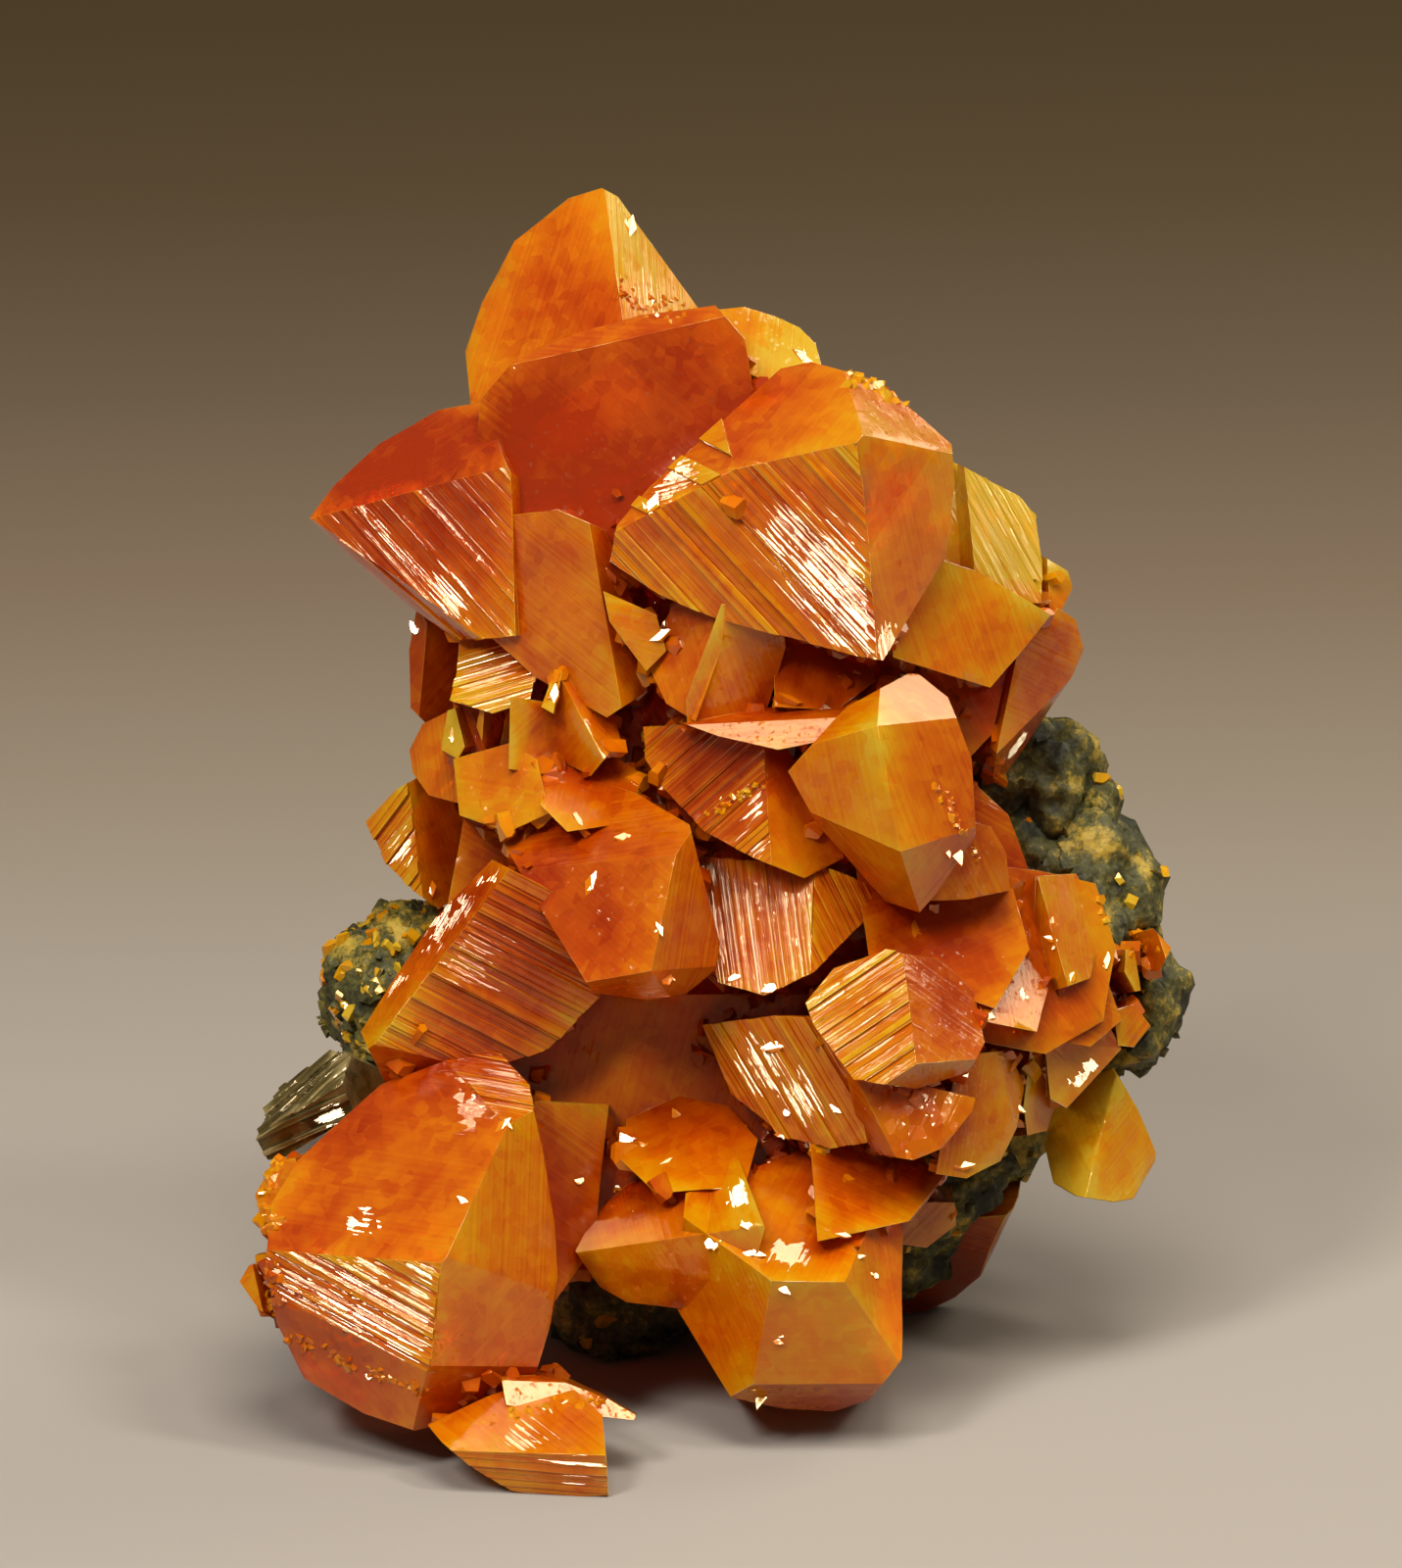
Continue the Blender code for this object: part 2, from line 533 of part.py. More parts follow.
def centre_lower():
    peak, hip = (3.0, 6.4, 5.9), (-0.6, 7.7, 4.0)
    return [
        crystal(
            [(-3.95, 7.2), (-3.4, 8.3), (-2.4, 9.2), (0.9, 10.3), (1.8, 8.0), (1.2, 6.0), (-0.8, 5.5),
             (-2.4, 5.65), (-3.2, 6.1)],
            -1.0, (-0.5, 8.5, -5.0),
            ((-3.9, 7.2, 1.8), hip, (0.9, 10.2, 2.0)),
            ((-3.9, 7.0, 1.8), hip, (1.0, 6.4, 4.6)),
            ((-3.9, 7.0, 1.8), (-0.8, 5.7, 3.0), (-0.6, 6.9, 3.9)),
        ),
        crystal(
            [(-0.95, 5.6), (-0.6, 9.0), (3.3, 10.4), (5.4, 10.2), (6.0, 8.5), (5.95, 4.0), (5.55, 3.45),
             (4.95, 2.7), (3.9, 2.3), (2.4, 2.42), (0.75, 2.8), (0.0, 4.05)],
            -1.7, (2.5, 9.5, -5.5),
            ((-0.4, 9.0, 3.0), (5.8, 8.6, 3.0), peak),
            (peak, (0.7, 3.0, 4.2), (5.6, 3.8, 4.4)),
            ((-0.8, 5.5, 2.8), (0.2, 4.0, 3.3), (1.3, 6.3, 5.2)),
            ((4.5, 7.3, 4.9), (5.75, 4.6, 4.3), (5.95, 6.5, 3.0)),
            ((1.2, 2.9, 3.6), (5.2, 3.0, 3.6), (3.6, 2.4, 2.4)),
        ),
        crystal(
            [(3.2, 10.6), (5.4, 10.45), (7.35, 9.5), (6.4, 8.2), (3.4, 7.6)],
            -3.0, (5.0, 10.5, -6.0),
            ((4.0, 10.3, 2.6), (7.2, 9.4, 1.6), (4.6, 8.2, 4.2)),
            ((7.2, 9.4, 1.6), (6.3, 8.2, 2.6), (6.9, 8.8, 0.8)),
        ),
        crystal(
            [(5.6, 9.2), (7.6, 9.0), (7.7, 7.9), (6.8, 7.2), (5.6, 7.4)],
            -5.2, (6.0, 9.5, -8.0),
            ((5.8, 8.9, -0.6), (7.6, 8.4, -1.8), (6.6, 7.4, -1.4)),
        ),
    ]


def under_prow():
    """The streaked brown face and the lump in the hollow below the prow."""
    return [
        crystal(
            [(-5.2, 11.8), (-2.2, 11.6), (-2.1, 9.3), (-3.4, 7.4), (-3.6, 5.5), (-5.0, 4.9)],
            -3.0, (-3.5, 10.0, -6.0),
            ((-4.9, 11.0, 2.0), (-2.4, 11.0, 0.7), (-4.4, 5.5, 1.6)),
        ),
        crystal(
            [(-2.6, 10.0), (-2.4, 11.2), (-0.8, 11.9), (0.7, 11.6), (1.6, 10.6), (1.2, 9.2), (-1.5, 9.0)],
            -2.0, (-0.5, 11.5, -5.5),
            ((-2.3, 10.8, 0.9), (0.8, 11.2, 0.9), (-0.5, 9.8, 2.2)),
        ),
    ]


def lower_left():
    waist, ridge, heel, foot = (-6.0, 11.1, 5.6), (-7.8, 7.2, 7.7), (-8.3, 3.9, 7.2), (-8.85, 1.95, 5.7)
    return [
        crystal(
            [(-6.6, 13.5), (-9.9, 12.3), (-12.4, 10.0), (-13.2, 8.7), (-13.35, 6.8), (-13.0, 5.1), (-12.2, 3.4),
             (-10.35, 2.35), (-8.8, 1.88), (-6.9, 2.3), (-5.3, 3.0), (-4.7, 5.1), (-4.5, 6.5), (-4.6, 8.2),
             (-4.9, 10.2), (-5.35, 12.3)],
            1.2, (-7.5, 10.0, -5.0),
            (waist, ridge, (-12.5, 9.6, 3.4)),
            ((-7.9, 6.7, 7.75), heel, (-13.0, 6.2, 4.8)),
            (waist, ridge, (-4.6, 7.0, 4.9)),
            (ridge, heel, (-4.7, 5.2, 4.9)),
            (heel, foot, (-5.3, 3.2, 4.4)),
            ((-8.35, 3.6, 7.1), (-12.8, 5.2, 4.5), foot),
            (waist, (-5.4, 12.15, 4.0), (-7.2, 11.7, 4.9)),
        ).stepped(2, -20, 9, 0.14).stepped(7, -20, 4, 0.1),
        crystal(
            [(-13.75, 8.9), (-13.2, 9.9), (-12.3, 10.1), (-11.6, 9.0), (-12.2, 7.6), (-13.3, 7.7)],
            0.4, (-11.0, 9.0, -3.5),
            ((-13.6, 8.8, 2.0), (-12.6, 9.8, 2.2), (-12.5, 8.0, 3.6)),
        ),
        crystal(
            [(-14.2, 6.3), (-13.9, 6.8), (-13.0, 7.0), (-12.6, 5.9), (-12.9, 5.0), (-13.6, 5.5)],
            0.8, (-11.5, 7.0, -3.0),
            ((-14.1, 6.3, 2.8), (-13.2, 6.9, 3.4), (-13.0, 5.4, 3.8)),
        ),
    ]


def bottom_fragment():
    return [
        crystal(
            [(-8.4, 2.1), (-6.6, 2.9), (-5.2, 3.4), (-3.9, 3.1), (-3.0, 2.3), (-2.95, 0.9), (-2.85, 0.0),
             (-4.8, -0.1), (-5.8, 0.1), (-6.9, 0.75), (-7.95, 1.6)],
            6.4, (-6.2, 4.6, -2.0),
            ((-8.0, 2.0, 6.8), (-3.2, 2.3, 7.0), (-5.6, 1.0, 8.4)),
            ((-7.2, 1.1, 7.6), (-3.0, 0.9, 8.2), (-4.6, 0.0, 7.4)),
        ),
        crystal(
            [(-6.2, 3.6), (-4.6, 3.5), (-3.2, 3.0), (-2.1, 2.35), (-2.2, 2.15), (-4.0, 2.4), (-6.0, 2.6)],
            4.6, (-6.0, 4.2, 0.0),
            ((-6.0, 3.3, 6.0), (-4.0, 3.2, 5.8), (-2.2, 2.2, 6.0)),
        ),
    ]


def core():
    """The massive inside of the cluster, seen only at the bottom of its hollows."""
    return [
        crystal(
            [(-7.4, 27.5), (-6.5, 32.2), (-1.0, 35.0), (4.6, 33.4), (8.5, 29.8), (9.6, 26.5), (8.8, 23.0),
             (5.0, 19.0), (-4.0, 19.0), (-7.8, 23.0)],
            -2.4, (0.0, 24.0, -30.0),
            ((-7.0, 28.0, -1.6), (8.0, 28.0, -1.4), (0.0, 21.0, 0.4)),
            ((-7.0, 28.0, -1.5), (8.0, 28.0, -1.5), (0.0, 34.0, -2.6)),
            blunt=0.22,
        ),
        crystal(
            [(-8.0, 17.0), (-7.4, 21.5), (-3.0, 24.0), (6.0, 23.5), (9.3, 20.5), (10.4, 17.5), (10.0, 14.0),
             (7.5, 11.0), (-5.0, 11.5), (-8.6, 13.5)],
            -2.0, (1.0, 17.0, -30.0),
            ((-7.0, 17.0, -0.6), (8.0, 17.0, -0.8), (0.0, 21.0, 0.5)),
            ((-7.0, 17.0, -0.7), (8.0, 17.0, -0.9), (0.0, 12.0, -0.2)),
            blunt=0.2,
        ),
        crystal(
            [(-11.5, 9.0), (-9.0, 12.5), (-5.0, 15.0), (6.0, 15.0), (9.4, 13.0), (9.2, 10.5), (6.0, 8.0),
             (-2.5, 6.5), (-5.2, 4.6), (-9.5, 4.6)],
            -1.5, (-1.0, 15.0, -24.0),
            ((-9.0, 9.0, 0.6), (7.0, 11.0, -0.6), (0.0, 14.0, -0.2)),
            blunt=0.24,
        ),
    ]


def left_druse():
    """The crowd of small crystals between the wing and the prow."""
    return [
        crystal(
            [(-7.8, 24.0), (-7.5, 25.4), (-6.0, 25.8), (-5.0, 25.2), (-5.3, 24.0), (-6.5, 23.6)],
            -2.0, (-5.0, 25.0, -5.0),
            ((-7.7, 24.1, 0.7), (-6.0, 25.3, 0.2), (-5.4, 24.1, 1.7)),
        ).stepped(1, 8, 6, 0.10),
        crystal(
            [(-7.0, 23.2), (-6.8, 24.2), (-6.1, 24.3), (-5.75, 23.4), (-5.85, 22.5), (-6.6, 22.2)],
            -1.8, (-5.0, 23.0, -4.0),
            ((-6.1, 24.2, 2.0), (-5.9, 22.6, 2.2), (-6.9, 23.2, 0.9)),
        ),
        crystal(
            [(-5.95, 24.1), (-4.4, 23.9), (-4.1, 22.6), (-4.9, 21.8), (-6.0, 21.9)],
            -1.6, (-4.0, 23.0, -4.5),
            ((-5.9, 23.8, 2.1), (-4.4, 23.4, 1.2), (-5.0, 22.0, 1.4)),
        ),
        crystal(
            [(-4.9, 24.0), (-4.2, 25.1), (-3.0, 24.3), (-2.6, 22.8), (-3.5, 21.7), (-4.7, 22.3)],
            -1.6, (-3.0, 23.5, -4.5),
            ((-4.0, 23.9, 2.2), (-3.2, 22.4, 2.5), (-4.8, 22.8, 1.0)),
            ((-4.0, 23.9, 2.2), (-3.2, 22.4, 2.5), (-2.7, 23.4, 1.4)),
        ),
        crystal(
            [(-7.7, 22.2), (-6.0, 22.7), (-4.8, 22.0), (-4.5, 20.7), (-6.0, 20.0), (-7.5, 20.5)],
            -2.2, (-4.5, 21.5, -5.0),
            ((-7.4, 22.0, 0.8), (-5.0, 21.8, 2.2), (-6.0, 20.4, 2.1)),
        ),
        crystal(
            [(-5.0, 22.1), (-3.2, 22.6), (-2.0, 21.8), (-2.2, 20.3), (-4.2, 20.0), (-5.0, 20.8)],
            -1.4, (-3.0, 21.5, -4.5),
            ((-4.8, 21.5, 2.0), (-2.4, 21.4, 1.6), (-3.4, 20.4, 2.9)),
        ),
        crystal(
            [(-8.1, 22.5), (-7.9, 23.7), (-6.9, 24.0), (-6.4, 22.8), (-7.0, 21.9)],
            -2.6, (-5.5, 23.0, -5.5),
            ((-8.0, 23.0, -0.2), (-7.0, 23.8, 0.6), (-7.0, 22.2, 1.0)),
        ),
        crystal(
            [(-5.0, 23.8), (-4.6, 24.95), (-4.2, 24.8), (-4.45, 23.5)],
            0.4, (-4.0, 24.0, -3.0),
            ((-4.95, 23.9, 2.2), (-4.6, 24.9, 2.0), (-4.3, 23.6, 2.6)),
        ),
    ]


def right_druse():
    """The crowd of small crystals between the ladder and the matrix rock."""
    return [
        crystal(
            [(9.7, 18.6), (11.4, 18.7), (12.2, 17.2), (11.8, 15.5), (10.3, 15.0), (9.5, 16.6)],
            -4.0, (9.0, 17.0, -8.0),
            ((10.4, 17.8, 0.0), (11.0, 15.6, 0.4), (9.6, 16.8, -1.2)),
            ((10.4, 17.8, 0.0), (11.0, 15.6, 0.4), (12.1, 17.0, -1.8)),
        ),
        crystal(
            [(8.2, 16.5), (9.7, 16.4), (10.5, 15.2), (10.1, 13.9), (8.6, 14.2), (8.0, 15.3)],
            -3.0, (8.5, 15.5, -7.0),
            ((8.4, 16.2, 1.6), (9.6, 14.4, 1.9), (10.4, 15.4, 0.4)),
        ),
        crystal(
            [(10.1, 15.7), (12.3, 15.6), (12.8, 14.2), (11.8, 13.4), (10.2, 13.7)],
            -4.2, (9.5, 15.0, -8.0),
            ((10.3, 15.2, 0.3), (12.4, 14.8, -1.4), (11.2, 13.7, -0.2)),
        ),
        crystal(
            [(11.7, 14.5), (13.1, 14.8), (13.7, 14.0), (13.2, 13.35), (11.8, 13.5)],
            -5.0, (10.5, 14.5, -9.0),
            ((11.9, 14.2, -1.4), (13.4, 13.9, -2.8), (12.4, 13.4, -1.8)),
        ),
        crystal(
            [(12.1, 16.5), (13.2, 16.3), (13.4, 15.1), (12.4, 14.9), (11.9, 15.6)],
            -5.0, (10.5, 15.5, -9.0),
            ((12.2, 16.2, -1.5), (13.3, 15.4, -2.6), (12.2, 15.2, -1.3)),
        ),
        crystal(
            [(12.8, 16.7), (13.8, 17.0), (14.35, 16.4), (14.0, 15.7), (13.0, 15.6)],
            -5.4, (11.0, 16.0, -9.0),
            ((13.0, 16.4, -2.2), (14.2, 16.4, -3.2), (13.4, 15.8, -2.2)),
        ),
    ]


def cluster_crystals():
    found = core() + summit() + dome() + saddle() + wing() + upper_body() + blocks() + wedge()
    found += centre_right() + right_upper() + left_edge() + left_druse() + prow() + fan() + curtain()
    found += ladder() + right_druse() + right_middle() + centre_lower() + under_prow() + lower_left()
    return found + bottom_fragment()


def clump(seed, centre, way, count, spread, sizes):
    """Small crystals crowded together on the back, fanning out from a middle one that looks along way."""
    pick = random.Random(seed)
    centre, way = place(*centre), place(*way).normalized()
    facing = Vector((0, -1, 0)).rotation_difference(way).to_matrix()
    found = []
    for index in range(count):
        ring, around = spread * math.sqrt(index / count), 2.4 * index
        aside = facing @ Vector((ring * math.cos(around), 0, ring * math.sin(around)))
        half = pick.uniform(*sizes)
        size = (half, half * pick.uniform(1.3, 1.8), half * pick.uniform(0.7, 1.0))
        lean = Vector((0, -1, 0)).rotation_difference(way * 2.2 + aside / spread).to_matrix()
        turn = lean @ Matrix.Rotation(pick.uniform(0, math.pi), 3, "Y")
        found.append(brick(centre + aside - way * (ring * 0.35), size, turn))
    return found


def rear_upper():
    return clump(5, (2.5, 27.5, -10.6), (0.1, 0.35, -1.0), 12, 3.6, (1.3, 2.1))


def rear_left():
    return clump(8, (-4.5, 18.5, -11.6), (-0.5, 0.1, -1.0), 10, 2.8, (1.0, 1.7))


def rear_right():
    return clump(13, (6.5, 14.5, -13.2), (0.4, -0.1, -1.0), 9, 2.6, (0.9, 1.6))


# The matrix rock is a few lumps, each given by its middle (x, z, out), its half sizes and its fineness.
ROCK_LUMPS = (
    ((1.5, 15.5, -9.3), (9.6, 4.9, 8.8), 3),
    ((1.5, 24.5, -8.3), (7.0, 4.2, 6.5), 3),
    ((11.0, 16.6, -7.2), (2.9, 3.6, 4.8), 3),
    ((10.0, 21.2, -7.2), (2.0, 2.6, 2.4), 2),
    ((13.3, 14.5, -6.8), (1.35, 1.8, 1.9), 2),
    ((-9.4, 15.0, -5.6), (2.2, 3.2, 2.3), 2),
    ((-2.7, 6.2, -7.2), (2.1, 2.6, 2.5), 2),
    ((2.6, 9.6, -8.6), (6.5, 4.0, 5.0), 2),
)


def rock_lump(index, middle, half, fineness):
    shape = bmesh.new()
    bmesh.ops.create_icosphere(shape, subdivisions=fineness, radius=1.0)
    shift = Vector((7.3 * index, 3.1, 1.7))
    for vert in shape.verts:
        way = vert.co.normalized()
        rough = 1 + 0.26 * noise.noise(way * 1.9 + shift) + 0.16 * noise.noise(way * 4.7 + shift)
        vert.co = place(*middle) + Vector([rough * part * size for part, size in zip(way, half)])
        below = (vert.co - GROUND[0]).dot(GROUND[1])
        if below > 0:
            vert.co -= GROUND[1] * below
    return as_object("matrix_rock", shape)


def matrix_rock(neighbours):
    lumps = [rock_lump(index, *lump) for index, lump in enumerate(ROCK_LUMPS)]
    return socketed(boolean(lumps[0], lumps[1:], "UNION"), neighbours)


def material(name, colour, roughness):
    finish = bpy.data.materials.new(name)
    finish.use_nodes = True
    shader = finish.node_tree.nodes["Principled BSDF"]
    shader.inputs["Base Color"].default_value = (*colour, 1)
    shader.inputs["Roughness"].default_value = roughness
    shader.inputs["Metallic"].default_value = 0
    return finish


def stand_upright(nodes):
    """Leans the drawing back, and puts the middle of the specimen's base at the origin, in metres."""
    lean = Matrix.Rotation(-LEAN, 4, "X")
    for node in nodes:
        node.data.transform(lean)
    corners = [vert.co for node in nodes for vert in node.data.vertices]
    low = Vector([min(corner[axis] for corner in corners) for axis in range(3)])
    high = Vector([max(corner[axis] for corner in corners) for axis in range(3)])
    base = Vector(((low.x + high.x) / 2, (low.y + high.y) / 2, low.z))
    for node in nodes:
        node.data.transform(Matrix.Diagonal((MM, MM, MM, 1)) @ Matrix.Translation(-base))


def main():
    for item in list(bpy.data.objects):
        bpy.data.objects.remove(item)
    amber = material("orpiment", (0.60, 0.14, 0.01), 0.25)
    gold = material("golden orpiment", (0.70, 0.27, 0.02), 0.3)
    olive = material("olive orpiment", (0.30, 0.17, 0.03), 0.35)
    rock = material("matrix", (0.06, 0.06, 0.045), 0.7)
    grown = (
        ("crystal_cluster", cluster_crystals(), amber),
        ("golden_crystal", golden_crystal(), gold),
        ("olive_crystal", olive_crystal(), olive),
        ("red_crystal", back_red(), amber),
        ("rear_crystals_upper", rear_upper(), amber),
        ("rear_crystals_left", rear_left(), amber),
        ("rear_crystals_right", rear_right(), amber),
    )
    nodes = [joined(name, crystals) for name, crystals, _ in grown]
    socketed(nodes[0], [body for _, crystals, _ in grown[1:] for body in crystals])
    nodes.append(matrix_rock([body for _, crystals, _ in grown for body in crystals]))
    for node, finish in zip(nodes, [finish for _, _, finish in grown] + [rock]):
        node.data.materials.clear()
        node.data.materials.append(finish)
    stand_upright(nodes)


main()
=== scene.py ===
import json
import math
import random

import bpy
import numpy as np
from mathutils import Matrix, Vector

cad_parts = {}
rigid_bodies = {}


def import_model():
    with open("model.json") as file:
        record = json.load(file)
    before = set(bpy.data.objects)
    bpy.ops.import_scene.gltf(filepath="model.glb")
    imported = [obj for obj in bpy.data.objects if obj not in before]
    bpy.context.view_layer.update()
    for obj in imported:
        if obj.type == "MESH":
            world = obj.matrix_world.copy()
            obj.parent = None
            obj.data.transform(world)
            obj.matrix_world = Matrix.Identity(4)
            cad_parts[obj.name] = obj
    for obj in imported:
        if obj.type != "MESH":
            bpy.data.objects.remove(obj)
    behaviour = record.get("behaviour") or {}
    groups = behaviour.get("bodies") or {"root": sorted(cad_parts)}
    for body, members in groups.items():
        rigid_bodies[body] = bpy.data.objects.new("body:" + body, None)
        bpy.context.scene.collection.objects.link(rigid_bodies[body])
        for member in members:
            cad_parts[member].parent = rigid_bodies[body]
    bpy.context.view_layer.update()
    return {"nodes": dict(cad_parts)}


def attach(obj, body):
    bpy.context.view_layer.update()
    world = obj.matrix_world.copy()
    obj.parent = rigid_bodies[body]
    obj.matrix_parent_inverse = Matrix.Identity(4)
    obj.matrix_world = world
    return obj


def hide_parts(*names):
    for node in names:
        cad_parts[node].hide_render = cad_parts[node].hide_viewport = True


# The specimen is drawn as the photo shows it: x to the right, z up the picture, out towards the
# viewer, in millimetres. spot() turns such a place into metres in the frame.
lean = math.radians(15)
baseInDrawing = Vector((0.22, 6.377, 1.928))
millimetre = 0.001


def spot(x, z, out=0.0):
    leaned = Matrix.Rotation(-lean, 3, "X") @ Vector((x, -out, z))
    return (leaned - baseInDrawing) * millimetre


def direction(x, z, out=0.0):
    return (Matrix.Rotation(-lean, 3, "X") @ Vector((x, -out, z))).normalized()


cameraSetup = {
    "aim": (-0.135, 21.45),
    "distance": 0.5,
    "lens": 250,
    "sensorHeight": 24,
}
toCamera = direction(0, 0, 1)
eye = spot(*cameraSetup["aim"]) + toCamera * cameraSetup["distance"]


# The way to a place in the studio: azimuth 0 is towards the camera, and -90 to the left.
def skyWay(azimuth, elevation):
    azimuth, elevation = math.radians(azimuth), math.radians(elevation)
    flat = math.cos(elevation)
    return Vector((math.sin(azimuth) * flat, -math.cos(azimuth) * flat, math.sin(elevation)))


softboxes = [
    {"name": "keySoftbox", "from": (-32, 42), "size": (0.08, 0.11),
     "power": 1.15, "colour": (1, 0.98, 0.98)},
    {"name": "topSoftbox", "from": (5, 66), "size": (0.20, 0.18),
     "power": 1.35, "colour": (1, 0.98, 0.95)},
    {"name": "rightSoftbox", "from": (58, 52), "size": (0.06, 0.14),
     "power": 0.62, "colour": (1, 0.96, 0.92)},
    {"name": "backSoftbox", "from": (128, 35), "size": (0.22, 0.22),
     "power": 0.6, "colour": (1, 0.94, 0.80)},
]
softboxDistance = 0.4


def softboxPlace(one):
    return spot(0, 18) + skyWay(*one["from"]) * softboxDistance


def selectNothing():
    for item in bpy.context.view_layer.objects:
        item.select_set(False)
    bpy.context.view_layer.objects.active = None


def workOn(piece):
    selectNothing()
    piece.select_set(True)
    bpy.context.view_layer.objects.active = piece


def editMode(on):
    bpy.ops.object.mode_set(mode="EDIT" if on else "OBJECT")


# Selects these faces, edges or vertices of a mesh, and nothing else.
def selectParts(mesh, kind, wanted):
    for name in ("vertices", "edges", "polygons"):
        flags = np.zeros(len(getattr(mesh, name)), dtype=bool)
        if name == kind:
            flags[wanted] = True
        getattr(mesh, name).foreach_set("select", flags)


# The normal and the middle of every face.
def faceTable(mesh):
    normals = np.empty(len(mesh.polygons) * 3)
    middles = np.empty(len(mesh.polygons) * 3)
    mesh.polygons.foreach_get("normal", normals)
    mesh.polygons.foreach_get("center", middles)
    return normals.reshape(-1, 3), middles.reshape(-1, 3)


def vertexTable(mesh):
    places = np.empty(len(mesh.vertices) * 3)
    mesh.vertices.foreach_get("co", places)
    return places.reshape(-1, 3)


# Where the line of sight through this place of the drawing meets the piece, and the normal there.
def seen(piece, x, z):
    way = (spot(x, z) - eye).normalized()
    found, place, normal, _ = piece.ray_cast(eye, way)
    return (place, normal) if found else (None, None)


# A copy of a CAD node with its flat faces whole again.
def copyOfNode(name, pieceName):
    piece = bpy.data.objects.new(pieceName, frame["nodes"][name].data.copy())
    bpy.context.scene.collection.objects.link(piece)
    piece.data.materials.clear()
    piece.data.name = pieceName
    workOn(piece)
    editMode(True)
    bpy.ops.mesh.select_all(action="SELECT")
    bpy.ops.mesh.remove_doubles(threshold=1e-6)
    bpy.ops.mesh.dissolve_limited(angle_limit=math.radians(0.6))
    editMode(False)
    return piece


# Striations: a face is cut into narrow strips, and a line near one side of each strip is raised into
# a low ridge with a broad and a steep side.

def facesInPlane(piece, place, normal, depth, reach):
    normals, middles = faceTable(piece.data)
    away = middles - np.array(place)
    flat = normals @ np.array(normal) > 0.9995
    flat &= abs(away @ np.array(normal)) < depth * millimetre
    flat &= np.linalg.norm(away, axis=1) < reach * millimetre
    return np.nonzero(flat)[0]


# The way across striations that run at this slope in the drawing.
def acrossOf(normal, slope):
    along = direction(math.cos(math.radians(slope)), math.sin(math.radians(slope)))
    return normal.cross(along - normal * along.dot(normal)).normalized()


ridgeWidths = (0.55, 0.75, 0.9, 1.0, 1.2, 1.7)
ridgeTilts = (0.05, 0.09, 0.13, 0.22)


def striate(piece, at, slope, pitch=0.17, depth=0.25, reach=9.0, tall=1.0, seed=1):
    place, normal = seen(piece, *at)
    if place is None:
        print("nothing is seen at", at)
        return
    across = acrossOf(normal, slope)
    faces = facesInPlane(piece, place, normal, depth, reach)
    corners = sorted({vertex for face in faces for vertex in piece.data.polygons[face].vertices})
    sides = vertexTable(piece.data)[corners] @ np.array(across)
    pick = random.Random(seed)
    feet, crests = [], []
    where = sides.min() + pitch * millimetre * 0.3
    while where < sides.max():
        width = pitch * millimetre * pick.choice(ridgeWidths)
        feet.append(where)
        crests.append((where + width * 0.15, width * math.tan(pick.choice(ridgeTilts))))
        where += width
    selectParts(piece.data, "polygons", faces)
    workOn(piece)
    editMode(True)
    bpy.ops.mesh.hide(unselected=True)
    for cut in feet + [crest for crest, _ in crests if crest < sides.max()]:
        bpy.ops.mesh.select_all(action="SELECT")
        bpy.ops.mesh.bisect(plane_co=across * cut, plane_no=across, threshold=1e-7)
    editMode(False)
    hidden = np.empty(len(piece.data.polygons), dtype=bool)
    piece.data.polygons.foreach_get("hide", hidden)
    shown = {vertex for face in np.nonzero(~hidden)[0] for vertex in piece.data.polygons[face].vertices}
    shown = np.array(sorted(shown))
    places = vertexTable(piece.data)[shown] @ np.array(across)
    for height in sorted({height for _, height in crests}):
        lines = np.array([crest for crest, own in crests if own == height])
        near = abs(places[:, None] - lines[None, :]).min(axis=1) < 3e-7
        if not near.any():
            continue
        selectParts(piece.data, "vertices", shown[near])
        editMode(True)
        bpy.ops.transform.translate(value=normal * height * tall)
        editMode(False)
    editMode(True)
    bpy.ops.mesh.reveal(select=False)
    editMode(False)


clusterStriations = [
    {"at": (3.0, 28.0), "slope": -47, "pitch": 0.17},
    {"at": (4.6, 14.6), "slope": 37, "pitch": 0.16},
    {"at": (-10.5, 5.2), "slope": -20, "pitch": 0.15},
    {"at": (-6.2, 12.3), "slope": -20, "pitch": 0.2},
    {"at": (-7.2, 16.4), "slope": -30, "pitch": 0.2},
    {"at": (3.0, 17.3), "slope": -76, "pitch": 0.16},
    {"at": (4.5, 17.6), "slope": -66, "pitch": 0.16},
    {"at": (2.4, 12.6), "slope": -55, "pitch": 0.2},
    {"at": (1.0, 21.0), "slope": 36, "pitch": 0.2},
    {"at": (-8.6, 28.3), "slope": -42, "pitch": 0.16},
    {"at": (-9.3, 19.4), "slope": 46, "pitch": 0.22},
    {"at": (-6.8, 24.6), "slope": 8, "pitch": 0.16},
    {"at": (-4.0, 0.6), "slope": 0, "pitch": 0.16},
    {"at": (8.6, 28.5), "slope": -58, "pitch": 0.25},
]


# Traits that every face carries for the material: the way across its fine lines, longer where they
# are stronger, how frosted it is, and how much warmer or deeper than its surroundings.

fineSlopes = (-50, -30, -62, 35, 75, -15)
bandFrost = 0.04


